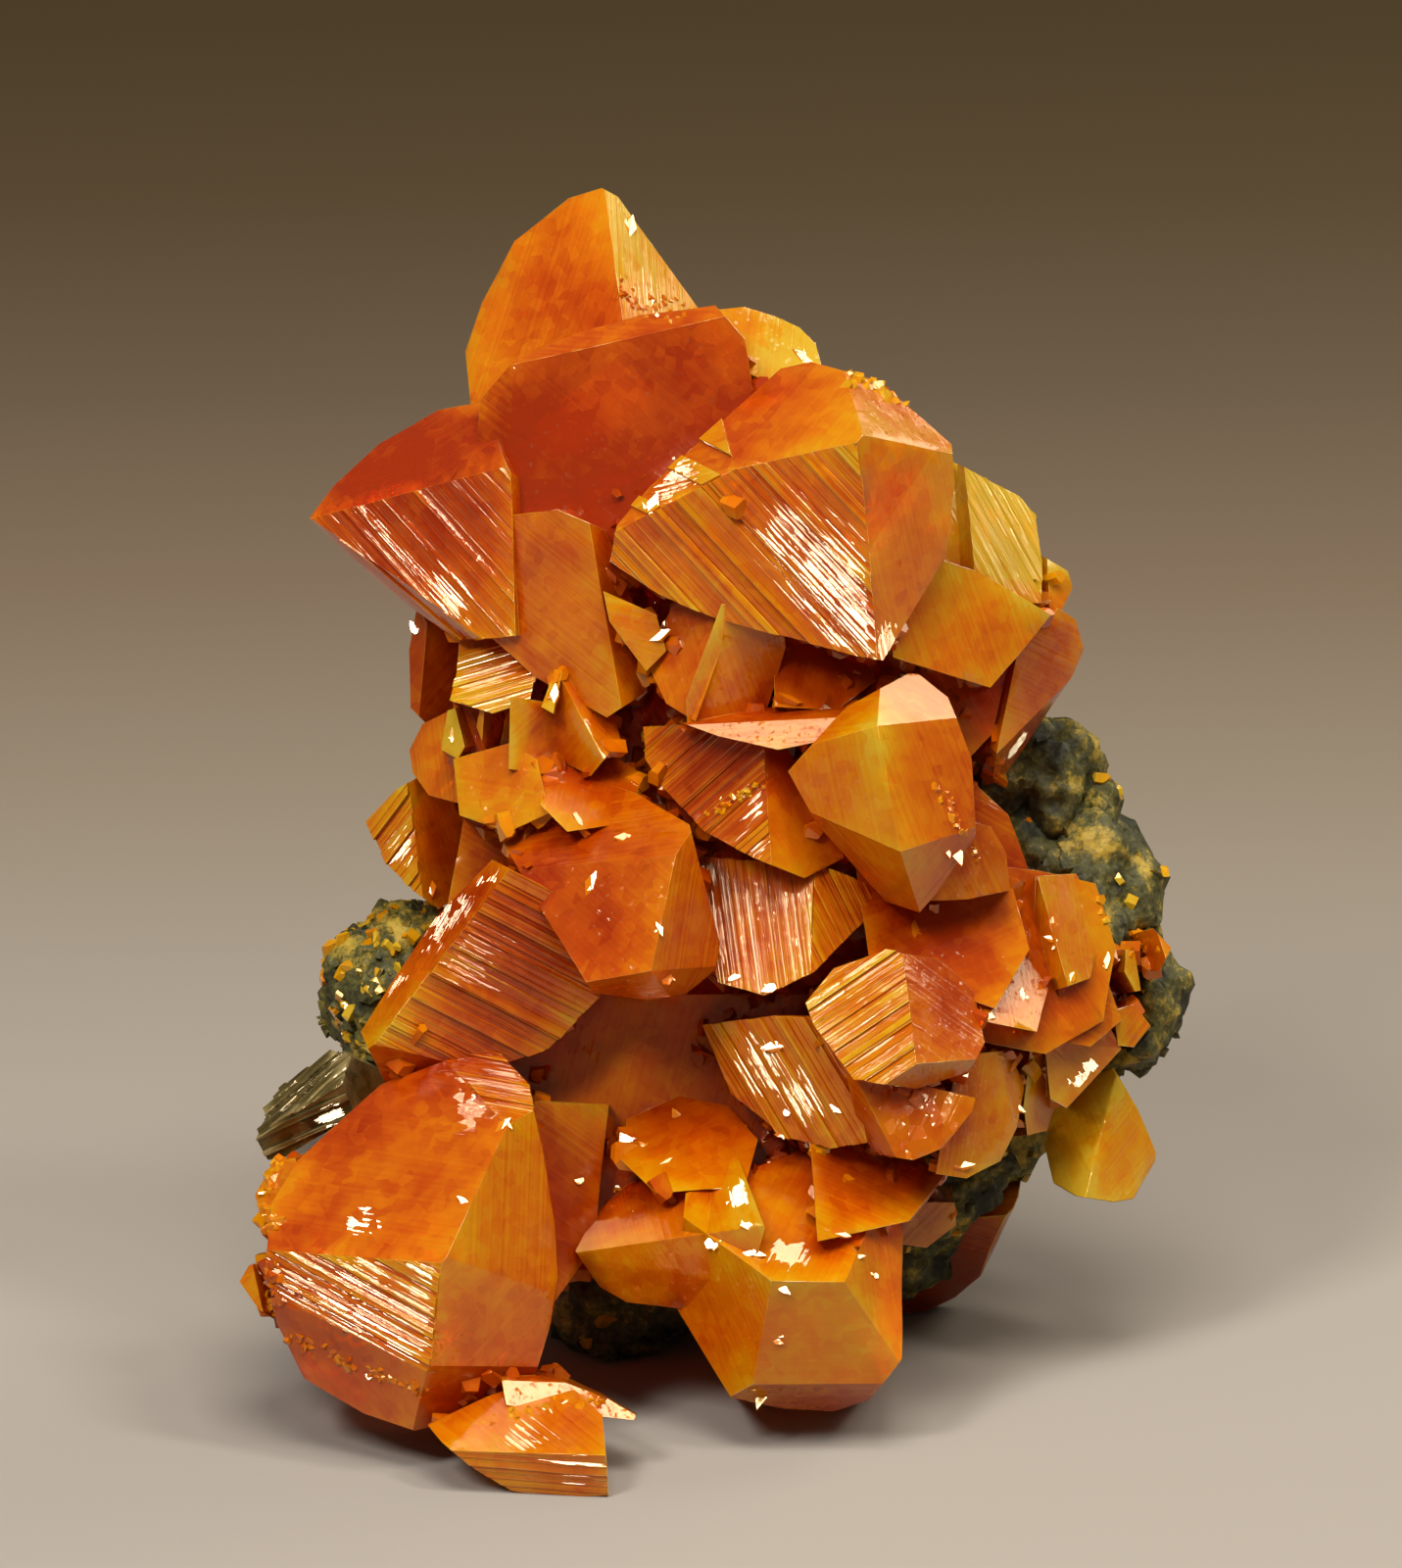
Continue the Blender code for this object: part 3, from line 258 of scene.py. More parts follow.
def giveTraits(piece, faces=(), striations=(), seed=3):
    mesh = piece.data
    normals, _ = faceTable(mesh)
    pick = random.Random(seed)
    lines, frost, shade = np.zeros((len(normals), 3)), np.zeros(len(normals)), np.zeros(len(normals))
    planes = {}
    for index, normal in enumerate(normals):
        key = tuple(np.round(normal, 2))
        if key not in planes:
            planes[key] = (pick.choice(fineSlopes), pick.uniform(0.2, 0.7), pick.uniform(0, 0.6),
                           pick.uniform(-0.12, 0.12))
        slope, strength, dull, change = planes[key]
        lines[index] = np.array(acrossOf(Vector(normal), slope)) * strength
        frost[index], shade[index] = dull, change
    for one in [*faces, *({**one, "frost": bandFrost, "lines": 1.0} for one in striations)]:
        place, normal = seen(piece, *one["at"])
        if place is None:
            continue
        chosen = facesInPlane(piece, place, normal, 0.3, one.get("reach", 9.0))
        if "slope" in one:
            lines[chosen] = np.array(acrossOf(normal, one["slope"])) * one.get("lines", 0.8)
        if "frost" in one:
            frost[chosen] = one["frost"]
        if "shade" in one:
            shade[chosen] = one["shade"]
    mesh.attributes.new("lineWay", "FLOAT_VECTOR", "FACE").data.foreach_set("vector", lines.ravel())
    mesh.attributes.new("frost", "FLOAT", "FACE").data.foreach_set("value", frost)
    mesh.attributes.new("shade", "FLOAT", "FACE").data.foreach_set("value", shade)


# Faces whose fine lines, frost or shade the photo shows.
clusterFaces = [
    {"at": (-2.0, 32.0), "frost": 0.5, "slope": -40, "lines": 0.2, "shade": -0.1},
    {"at": (-9.0, 31.0), "frost": 0.6, "slope": 20, "lines": 0.3, "shade": -0.1},
    {"at": (-4.5, 36.5), "frost": 0.3, "slope": 75, "lines": 0.4},
    {"at": (-1.8, 37.3), "frost": 0.2, "slope": 70, "lines": 1.0, "shade": 0.3},
    {"at": (6.6, 28.0), "frost": 0.3, "slope": -60, "lines": 0.5},
    {"at": (4.6, 22.0), "frost": 0.3, "slope": -75, "lines": 0.5},
    {"at": (-9.5, 9.0), "frost": 0.3, "slope": -25, "lines": 0.3, "shade": -0.12},
    {"at": (-5.5, 8.0), "frost": 0.3, "slope": 80, "lines": 0.6},
    {"at": (-3.0, 18.5), "frost": 0.5, "slope": -40, "lines": 0.3},
    {"at": (-0.3, 17.0), "frost": 0.4, "slope": 70, "lines": 0.7},
    {"at": (4.0, 4.5), "frost": 0.2, "slope": 0, "lines": 0.2, "shade": 0.05},
    {"at": (6.0, 11.5), "frost": 0.3, "slope": 60, "lines": 0.2},
    {"at": (1.4, 22.7), "frost": 1.6, "slope": 5, "lines": 0.6, "reach": 3.0},
]


# Fine surface: bevelled edges that can carry a painted highlight, then small triangles that carry an
# uneven surface.

# Bevels the edges that are sharp, and gives the bevels the second material slot; the edge finish there
# paints a pale highlight along them.
def bevelForEdgeHighlight(piece, width, sharper=24):
    workOn(piece)
    editMode(True)
    bpy.ops.mesh.select_all(action="DESELECT")
    bpy.ops.mesh.select_mode(type="EDGE")
    bpy.ops.mesh.edges_select_sharp(sharpness=math.radians(sharper))
    bpy.ops.mesh.bevel(offset=width * millimetre, segments=1, clamp_overlap=True, material=1)
    bpy.ops.mesh.select_mode(type="FACE")
    editMode(False)


# Which edges are longer than this many millimetres, and the middle of every edge.
def longEdges(mesh, longest):
    ends = np.empty(len(mesh.edges) * 2, dtype=int)
    mesh.edges.foreach_get("vertices", ends)
    places = vertexTable(mesh)[ends.reshape(-1, 2)]
    lengths = np.linalg.norm(places[:, 0] - places[:, 1], axis=1)
    return lengths > longest * millimetre, places.mean(axis=1)


def splitEdges(mesh, wanted):
    editMode(True)
    bpy.ops.mesh.select_mode(type="EDGE")
    editMode(False)
    selectParts(mesh, "edges", wanted)
    editMode(True)
    bpy.ops.mesh.subdivide(number_cuts=1, quadcorner="INNERVERT", ngon=False)
    bpy.ops.mesh.select_all(action="SELECT")
    bpy.ops.mesh.quads_convert_to_tris(quad_method="BEAUTY", ngon_method="BEAUTY")
    bpy.ops.mesh.select_mode(type="FACE")
    editMode(False)


# Cuts the faces into triangles with no edge longer than this.
def refine(piece, longest, rounds=5):
    workOn(piece)
    editMode(True)
    bpy.ops.mesh.select_all(action="SELECT")
    bpy.ops.mesh.quads_convert_to_tris(quad_method="BEAUTY", ngon_method="BEAUTY")
    editMode(False)
    for _ in range(rounds):
        long, _ = longEdges(piece.data, longest)
        if not long.any():
            break
        splitEdges(piece.data, long)


# Moves the surface in and out along its normals by a procedural pattern.
def unevenness(piece, name, kind, size, strength, middle=0.5, depth=2):
    pattern = bpy.data.textures.new(name, kind)
    pattern.noise_scale = size * millimetre
    if kind == "CLOUDS":
        pattern.noise_depth = depth
    workOn(piece)
    bpy.ops.object.modifier_add(type="DISPLACE")
    bump = piece.modifiers[-1]
    bump.texture = pattern
    bump.texture_coords = "LOCAL"
    bump.strength = strength * millimetre
    bump.mid_level = middle
    bpy.ops.object.modifier_apply(modifier=bump.name)


def smoothExceptEdges(piece, angle):
    workOn(piece)
    bpy.ops.object.shade_smooth_by_angle(angle=math.radians(angle))


# Tints: warmth goes from 0, deep red-brown, through orange to 1, yellow. Frost is a face's dullness.

clusterTints = [
    {"at": (-4.5, 37.0), "reach": 5.0, "warmth": 0.50},
    {"at": (-2.0, 37.5), "reach": 2.5, "warmth": 0.85},
    {"at": (2.6, 34.9), "reach": 1.5, "warmth": 0.9},
    {"at": (-2.5, 32.5), "reach": 4.5, "warmth": 0.25},
    {"at": (-9.0, 30.8), "reach": 3.0, "warmth": 0.28},
    {"at": (-8.0, 28.4), "reach": 2.5, "warmth": 0.4},
    {"at": (3.5, 28.5), "reach": 3.5, "warmth": 0.45},
    # Warmth above 1 adds a painted glow of light through this thin yellow crystal to its own yellow.
    {"at": (9.4, 29.5), "reach": 2.8, "warmth": 1.25},
    {"at": (6.6, 28.0), "reach": 2.5, "warmth": 0.7},
    {"at": (10.6, 25.5), "reach": 2.0, "warmth": 0.4},
    {"at": (5.3, 22.0), "reach": 3.0, "warmth": 0.6},
    {"at": (1.0, 21.0), "reach": 2.5, "warmth": 0.3},
    {"at": (-6.8, 16.5), "reach": 3.0, "warmth": 0.0},
    {"at": (-2.5, 18.0), "reach": 3.0, "warmth": 0.5},
    {"at": (2.5, 17.0), "reach": 2.5, "warmth": 0.35},
    {"at": (5.0, 14.5), "reach": 2.5, "warmth": 0.5},
    {"at": (9.5, 18.0), "reach": 3.0, "warmth": 0.6},
    # This spot is warmed as a painted glow of light through the crystal into the recess.
    {"at": (-2.0, 13.0), "reach": 3.5, "warmth": 0.42},
    {"at": (-9.5, 8.5), "reach": 4.0, "warmth": 0.42},
    {"at": (-6.0, 7.0), "reach": 2.5, "warmth": 0.4},
    {"at": (-12.8, 9.0), "reach": 1.5, "warmth": 0.9},
    {"at": (3.0, 6.0), "reach": 4.0, "warmth": 0.58},
    {"at": (-2.5, 7.2), "reach": 2.0, "warmth": 0.65},
    {"at": (-4.5, 1.2), "reach": 3.0, "warmth": 0.55},
]


# Light comes through thin places and is lost in thick or closed-in ones, and this is painted into the
# colour. From each point, rays go inwards to feel how thin the solid is there, and outwards to feel how
# open its surroundings are.
lightReach = {
    "rays": 4,
    "inTilt": 55,
    "outTilt": 50,
    "thinDepth": 1.5,
    "openDepth": 1.6,
    "usualThin": 0.35,
    "thinGlow": 0.6,
    "usualOpen": 0.9,
    "closedShade": 0.5,
}


def feelLight(piece):
    mesh = piece.data
    tilts = [math.radians(lightReach[name]) for name in ("inTilt", "outTilt")]
    depths = [lightReach[name] * millimetre for name in ("thinDepth", "openDepth")]
    felt = np.zeros((2, len(mesh.vertices)))
    for index, vertex in enumerate(mesh.vertices):
        normal = vertex.normal
        side = normal.orthogonal().normalized()
        other = normal.cross(side)
        for ray in range(lightReach["rays"]):
            turn = 2.4 * index + ray * math.tau / lightReach["rays"]
            around = side * math.cos(turn) + other * math.sin(turn)
            for row, sign in ((0, -1), (1, 1)):
                way = normal * sign * math.cos(tilts[row]) + around * math.sin(tilts[row])
                start = vertex.co + normal * sign * 3e-5
                found, place, _, _ = piece.ray_cast(start, way, distance=depths[row] * 5)
                felt[row, index] += math.exp(-(place - start).length / depths[row]) if found else 0
    felt /= lightReach["rays"]
    mesh.attributes.new("thin", "FLOAT", "POINT").data.foreach_set("value", felt[0].astype(np.float32))
    mesh.attributes.new("open", "FLOAT", "POINT").data.foreach_set("value", 1 - felt[1].astype(np.float32))


def pointValues(mesh, name):
    values = np.empty(len(mesh.vertices), dtype=np.float32)
    mesh.attributes[name].data.foreach_get("value", values)
    return values


# Writes how warm the colour is at each point, from the places listed, plus a painted glow in thin places
# and painted shade in closed-in ones.
def tint(piece, spots, plain=0.5):
    places = vertexTable(piece.data)
    total = np.full(len(places), 0.35)
    warmth = total * plain
    for one in spots:
        middle, _ = seen(piece, *one["at"])
        if middle is None:
            continue
        away = np.linalg.norm(places - np.array(middle), axis=1) / (one["reach"] * millimetre)
        share = np.exp(-2.0 * away * away) * 3
        warmth += share * one["warmth"]
        total += share
    warmth /= total
    # Painted glow and painted shade: thin places turn warmer and yellower, closed-in places deeper red.
    warmth += (pointValues(piece.data, "thin") - lightReach["usualThin"]) * lightReach["thinGlow"]
    warmth += (pointValues(piece.data, "open") - lightReach["usualOpen"]) * lightReach["closedShade"]
    layer = piece.data.attributes.new("warmth", "FLOAT", "POINT")
    layer.data.foreach_set("value", warmth.astype(np.float32))
    leanGlints(piece)


# Glints: where the photo shows a face flash, its parts lean a little so that they mirror a softbox.
# Each row is a place in the drawing, how far the flash reaches in millimetres and how full it is.
# The smallest ones are modelled as facets of their own.
glints = [
    (4.9, 26.3, 1.3, 1.0), (3.9, 27.9, 1.4, 1.0), (3.1, 30.0, 0.8, 1.0), (2.6, 29.0, 1.0, 0.8),
    (5.5, 25.6, 0.7, 1.0), (0.2, 31.8, 0.8, 0.9), (-0.9, 30.8, 0.8, 0.9), (-1.6, 30.0, 0.5, 0.8),
    (-7.9, 27.3, 0.7, 0.9), (-1.4, 26.0, 0.5, 1.0), (-1.8, 36.4, 0.8, 0.6), (-2.3, 38.5, 0.5, 0.6),
    (3.0, 34.5, 0.5, 0.9), (1.7, 20.8, 0.6, 0.8), (1.5, 19.3, 0.9, 0.6), (7.7, 19.3, 0.5, 0.9),
    (9.5, 22.6, 0.6, 1.0), (10.4, 29.5, 0.8, 0.6), (9.6, 29.8, 1.4, 0.5), (9.0, 28.4, 1.2, 0.4),
    (9.7, 15.0, 0.35, 1.0), (11.2, 15.5, 0.35, 1.0), (12.3, 16.05, 0.35, 1.0), (13.4, 14.9, 0.3, 1.0),
    (8.65, 14.4, 0.35, 1.0), (9.05, 13.3, 0.3, 1.0), (10.6, 16.7, 0.3, 1.0), (11.6, 12.5, 0.6, 0.8),
    (12.4, 12.2, 0.5, 0.9), (11.8, 11.2, 0.5, 0.8), (6.4, 6.6, 0.35, 1.0), (7.1, 6.5, 0.3, 1.0),
    (8.1, 6.4, 0.3, 1.0), (6.5, 5.5, 0.6, 0.5), (7.6, 8.3, 0.3, 1.0), (1.2, 9.0, 0.6, 1.0),
    (1.3, 7.9, 0.35, 1.0), (1.5, 7.05, 0.45, 1.0), (2.6, 7.05, 0.6, 1.0), (4.35, 9.4, 0.3, 1.0),
    (2.2, 4.4, 0.3, 1.0), (2.35, 6.0, 0.4, 1.0), (4.7, 7.0, 0.25, 1.0), (5.2, 6.4, 0.25, 1.0),
    (4.1, 7.7, 0.45, 0.6), (1.7, 2.7, 0.5, 0.8), (7.9, 9.75, 0.45, 1.0), (0.2, 7.4, 0.5, 0.7),
    (-6.2, 12.2, 0.9, 1.0), (-7.0, 11.6, 0.8, 0.9), (-6.2, 11.0, 0.4, 0.8), (-7.4, 8.7, 0.3, 0.8),
    (-10.6, 7.9, 0.6, 0.6), (-8.6, 6.8, 0.7, 0.8), (-12.2, 6.2, 1.1, 1.0), (-10.7, 5.6, 1.6, 1.0),
    (-9.1, 5.0, 1.2, 1.0), (-5.5, 1.5, 0.8, 0.55), (-4.0, 0.5, 0.8, 0.4), (-12.3, 12.0, 1.0, 0.9),
    (-11.4, 11.2, 0.6, 0.8), (-8.0, 17.2, 1.0, 0.65), (-7.2, 16.1, 1.0, 0.8), (-9.4, 15.4, 0.7, 0.4),
    (-6.6, 18.6, 0.6, 0.6), (-9.2, 19.5, 0.6, 1.0), (-8.4, 18.3, 0.4, 0.8), (-8.9, 26.2, 0.4, 0.9),
    (-7.75, 22.95, 0.3, 1.0), (-6.8, 24.6, 0.7, 0.7), (-6.3, 23.3, 0.6, 0.7), (-4.6, 24.2, 0.4, 0.7),
    (-1.4, 17.0, 0.3, 0.8), (-1.2, 15.5, 0.5, 0.8), (-3.5, 18.4, 0.5, 0.6), (-2.5, 19.8, 0.4, 0.8),
    (4.8, 17.6, 0.6, 0.3), (0.9, 15.5, 0.35, 1.0), (2.0, 15.2, 0.4, 1.0), (6.4, 17.0, 0.4, 1.0),
    (3.7, 15.1, 0.9, 0.4), (4.8, 15.7, 0.7, 0.5), (5.4, 13.1, 0.9, 0.5), (4.6, 14.4, 0.9, 0.2),
    (3.5, 13.6, 0.4, 1.0), (2.1, 13.4, 0.5, 1.0), (3.0, 11.9, 0.7, 1.0), (1.8, 12.8, 0.8, 0.8),
    (2.5, 11.4, 0.3, 1.0), (2.3, 10.7, 0.25, 1.0), (4.0, 11.5, 0.3, 1.0), (6.0, 11.5, 1.9, 0.45),
    (9.6, 11.5, 0.3, 1.0), (-0.9, 11.3, 0.35, 1.0), (-2.4, 10.8, 0.25, 1.0), (-1.9, 10.4, 0.25, 1.0),
    (-1.2, 9.9, 0.25, 1.0), (-3.9, 9.3, 0.3, 1.0), (-2.7, 9.1, 0.25, 1.0), (-4.0, 13.0, 0.8, 0.4),
]
smallestFlash = 0.55


# The way a facet at this place must look to mirror one of the front softboxes to the viewer.
def mirrorWay(place, normal):
    lamps = [softboxPlace(one) for one in softboxes[:3]]
    halves = [((lamp - place).normalized() + (eye - place).normalized()).normalized() for lamp in lamps]
    return max(halves, key=normal.dot)


# Gives the places that flash enough points to flash in their own outline.
def refineGlints(piece, longest=0.4, rounds=3):
    spots = [(seen(piece, x, z)[0], reach) for x, z, reach, _ in glints]
    spots = [(np.array(place), reach * 1.3 * millimetre) for place, reach in spots if place is not None]
    workOn(piece)
    for _ in range(rounds):
        long, middles = longEdges(piece.data, longest)
        near = np.zeros(len(middles), dtype=bool)
        for place, reach in spots:
            near |= np.linalg.norm(middles - place, axis=1) < reach
        if not (long & near).any():
            break
        splitEdges(piece.data, long & near)


# Writes at each point how far the mirroring way leans from the surface's own.
def leanGlints(piece):
    mesh = piece.data
    normals, middles = faceTable(mesh)
    areas = np.empty(len(mesh.polygons))
    mesh.polygons.foreach_get("area", areas)
    places = vertexTable(mesh)
    facing = np.empty(len(places) * 3)
    mesh.vertices.foreach_get("normal", facing)
    facing = facing.reshape(-1, 3)
    leans = np.zeros((len(places), 3))
    flashes = np.zeros(len(places))
    for x, z, reach, fullness in glints:
        place, normal = seen(piece, x, z)
        if place is None or reach < smallestFlash:
            continue
        reach *= millimetre
        near = np.linalg.norm(middles - np.array(place), axis=1) < reach * 1.3
        near &= normals @ np.array(normal) > 0.8
        if near.any():
            normal = Vector((normals[near] * areas[near, None]).sum(axis=0)).normalized()
        half = mirrorWay(place, normal)
        away = np.linalg.norm(places - np.array(place), axis=1) / reach
        share = np.clip(1.5 - away, 0, 1) * fullness * (facing @ np.array(normal) > 0.6)
        stronger = share > flashes
        leans[stronger] = np.array(half - normal)
        flashes[stronger] = share[stronger]
    mesh.attributes.new("glint", "FLOAT_VECTOR", "POINT").data.foreach_set("vector", leans.ravel())
    mesh.attributes.new("flash", "FLOAT", "POINT").data.foreach_set("value", flashes.astype(np.float32))


# Materials

def node(tree, kind, **values):
    made = tree.nodes.new(kind)
    for name, value in values.items():
        if hasattr(made, name):
            setattr(made, name, value)
        else:
            made.inputs[name.replace("_", " ")].default_value = value
    return made


crystalFinish = {
    "colours": [
        # The deepest red is kept bright: the crystal's own red, with a painted glow for the deep,
        # closed-in places.
        (0.0, (0.50, 0.034, 0.0005)),
        (0.26, (0.74, 0.100, 0.001)),
        (0.52, (0.95, 0.23, 0.001)),
        (0.80, (1.0, 0.42, 0.002)),
        (1.0, (1.0, 0.62, 0.03)),
    ],
    "absorbed": (1.0, 0.60, 0.02),
    "density": 210.0,
    "ior": 1.85,
    "gloss": (1.0, 0.80, 0.50),
    "shine": 0.35,
    "clearness": 0.55,
    "veinStrength": 0.5,
    "cloudStrength": 1.0,
    "flakeSize": 2600.0,
    "flakeColour": 0.14,
    "frostTilt": 0.08,
    "frostRoughness": 0.20,
    "leastRoughness": 0.05,
    "grainSize": 11000.0,
    "sparkle": 0.5,
    "sparkleRarity": 8.0,
    "linePitch": 7000.0,
    "lineColour": 0.5,
    "lineHeight": 0.00003,
    "highlightLift": 0.0,
    "dullness": 0.0,
}


def arithmetic(tree, operation, *inputs):
    made = tree.nodes.new("ShaderNodeMath")
    made.operation = operation
    for socket, value in zip(made.inputs, inputs):
        if isinstance(value, (int, float)):
            socket.default_value = value
        else:
            tree.links.new(value, socket)
    return made.outputs[0]


def vectorWork(tree, operation, *inputs, scale=None):
    made = tree.nodes.new("ShaderNodeVectorMath")
    made.operation = operation
    for socket, value in zip(made.inputs, inputs):
        if isinstance(value, tuple):
            socket.default_value = value
        else:
            tree.links.new(value, socket)
    if scale is not None:
        if isinstance(scale, (int, float)):
            made.inputs["Scale"].default_value = scale
        else:
            tree.links.new(scale, made.inputs["Scale"])
    return made.outputs["Value" if operation in ("DOT_PRODUCT", "LENGTH") else "Vector"]


def crystalMaterial(name, finish):
    made = bpy.data.materials.new(name)
    made.use_nodes = True
    tree = made.node_tree
    link = tree.links.new
    shader = tree.nodes["Principled BSDF"]
    output = tree.nodes["Material Output"]
    place = node(tree, "ShaderNodeTexCoord").outputs["Object"]
    warmth = node(tree, "ShaderNodeAttribute", attribute_name="warmth").outputs["Fac"]
    frost = node(tree, "ShaderNodeAttribute", attribute_name="frost").outputs["Fac"]
    shade = node(tree, "ShaderNodeAttribute", attribute_name="shade").outputs["Fac"]
    lineWay = node(tree, "ShaderNodeAttribute", attribute_name="lineWay").outputs["Vector"]
    glint = node(tree, "ShaderNodeAttribute", attribute_name="glint").outputs["Vector"]
    flash = node(tree, "ShaderNodeAttribute", attribute_name="flash").outputs["Fac"]

    # fine lines on the faces: a pattern that only changes across them
    across = vectorWork(tree, "DOT_PRODUCT", place, vectorWork(tree, "NORMALIZE", lineWay))
    lines = node(tree, "ShaderNodeTexNoise", noise_dimensions="1D", Scale=finish["linePitch"], Detail=3.0)
    link(across, lines.inputs["W"])
    lineDepth = vectorWork(tree, "LENGTH", lineWay)

    # flakes and grains: the face is a mosaic of parts that each look a slightly different way
    flake = node(tree, "ShaderNodeTexVoronoi", Scale=finish["flakeSize"])
    grain = node(tree, "ShaderNodeTexVoronoi", Scale=finish["grainSize"])
    link(place, flake.inputs["Vector"])
    link(place, grain.inputs["Vector"])
    flakeChance = node(tree, "ShaderNodeSeparateColor")
    link(flake.outputs["Color"], flakeChance.inputs["Color"])
    grainChance = node(tree, "ShaderNodeSeparateColor")
    link(grain.outputs["Color"], grainChance.inputs["Color"])

    # colour: veins, clouds, flakes and lines between deep red and yellow
    veins = node(tree, "ShaderNodeTexNoise", Scale=600.0, Detail=2.0, Roughness=0.75)
    link(place, veins.inputs["Vector"])
    strength = finish["veinStrength"]
    highlightLift = finish["highlightLift"] - strength / 2
    colourPlace = arithmetic(tree, "MULTIPLY_ADD", veins.outputs["Fac"], strength, highlightLift)
    clouds = node(tree, "ShaderNodeTexNoise", Scale=190.0, Detail=1.0)
    link(place, clouds.inputs["Vector"])
    change = arithmetic(tree, "SUBTRACT", clouds.outputs["Fac"], 0.5)
    colourPlace = arithmetic(tree, "MULTIPLY_ADD", change, finish["cloudStrength"], colourPlace)
    colourPlace = arithmetic(tree, "ADD", colourPlace, warmth)
    colourPlace = arithmetic(tree, "ADD", colourPlace, shade)
    change = arithmetic(tree, "SUBTRACT", flakeChance.outputs["Red"], 0.5)
    colourPlace = arithmetic(tree, "MULTIPLY_ADD", change, finish["flakeColour"], colourPlace)
    strength = finish["lineColour"]
    lineColour = arithmetic(tree, "MULTIPLY_ADD", lines.outputs["Fac"], strength, -strength / 2)
    colourPlace = arithmetic(tree, "ADD", colourPlace, arithmetic(tree, "MULTIPLY", lineColour, lineDepth))
    ramp = node(tree, "ShaderNodeValToRGB")
    while len(ramp.color_ramp.elements) < len(finish["colours"]):
        ramp.color_ramp.elements.new(0.5)
    for stop, (position, colour) in zip(ramp.color_ramp.elements, finish["colours"]):
        stop.position = position
        stop.color = (*colour, 1)
    link(colourPlace, ramp.inputs["Fac"])
    link(ramp.outputs["Color"], shader.inputs["Base Color"])

    # dull and shiny patches
    dull = arithmetic(tree, "MULTIPLY_ADD", clouds.outputs["Fac"], 0.2, finish["dullness"] - 0.03)
    dull = arithmetic(tree, "MULTIPLY_ADD", frost, finish["frostRoughness"], dull)
    link(arithmetic(tree, "MAXIMUM", dull, finish["leastRoughness"]), shader.inputs["Roughness"])

    # the tilt of flakes and, rarely, of single grains that sparkle
    halves = (0.5, 0.5, 0.5)
    rare = arithmetic(tree, "POWER", grainChance.outputs["Red"], finish["sparkleRarity"])
    much = arithmetic(tree, "MULTIPLY", arithmetic(tree, "ADD", frost, 0.15), finish["sparkle"])
    grainTilt = vectorWork(tree, "SCALE", vectorWork(tree, "SUBTRACT", grain.outputs["Color"], halves),
                           scale=arithmetic(tree, "MULTIPLY_ADD", much, rare, 0.02))
    flakeTilt = vectorWork(tree, "SCALE", vectorWork(tree, "SUBTRACT", flake.outputs["Color"], halves),
                           scale=arithmetic(tree, "MULTIPLY_ADD", frost, finish["frostTilt"], 0.01))
    striped = arithmetic(tree, "MULTIPLY_ADD", lines.outputs["Fac"], 3.2, -1.0)
    edge = node(tree, "ShaderNodeMix")
    link(lineDepth, edge.inputs["Factor"])
    link(flakeChance.outputs["Green"], edge.inputs["A"])
    link(striped, edge.inputs["B"])
    least = arithmetic(tree, "MULTIPLY_ADD", edge.outputs["Result"], 0.9, 0.1)
    flashing = arithmetic(tree, "GREATER_THAN", flash, least)
    normal = vectorWork(tree, "ADD", node(tree, "ShaderNodeNewGeometry").outputs["Normal"],
                        vectorWork(tree, "SCALE", glint, scale=flashing))
    tilted = vectorWork(tree, "ADD", vectorWork(tree, "ADD", normal, grainTilt), flakeTilt)
    bump = node(tree, "ShaderNodeBump", Distance=finish["lineHeight"])
    link(arithmetic(tree, "MULTIPLY", lineDepth, 0.8), bump.inputs["Strength"])
    link(lines.outputs["Fac"], bump.inputs["Height"])
    link(vectorWork(tree, "NORMALIZE", tilted), bump.inputs["Normal"])
    link(bump.outputs["Normal"], shader.inputs["Normal"])

    shader.inputs["IOR"].default_value = finish["ior"]
    shader.inputs["Specular Tint"].default_value = (*finish["gloss"], 1)
    shader.inputs["Specular IOR Level"].default_value = finish["shine"]
    shader.inputs["Transmission Weight"].default_value = finish["clearness"]
    inside = node(tree, "ShaderNodeVolumeAbsorption")
    inside.inputs["Color"].default_value = (*finish["absorbed"], 1)
    inside.inputs["Density"].default_value = finish["density"]
    link(inside.outputs["Volume"], output.inputs["Volume"])
    return made


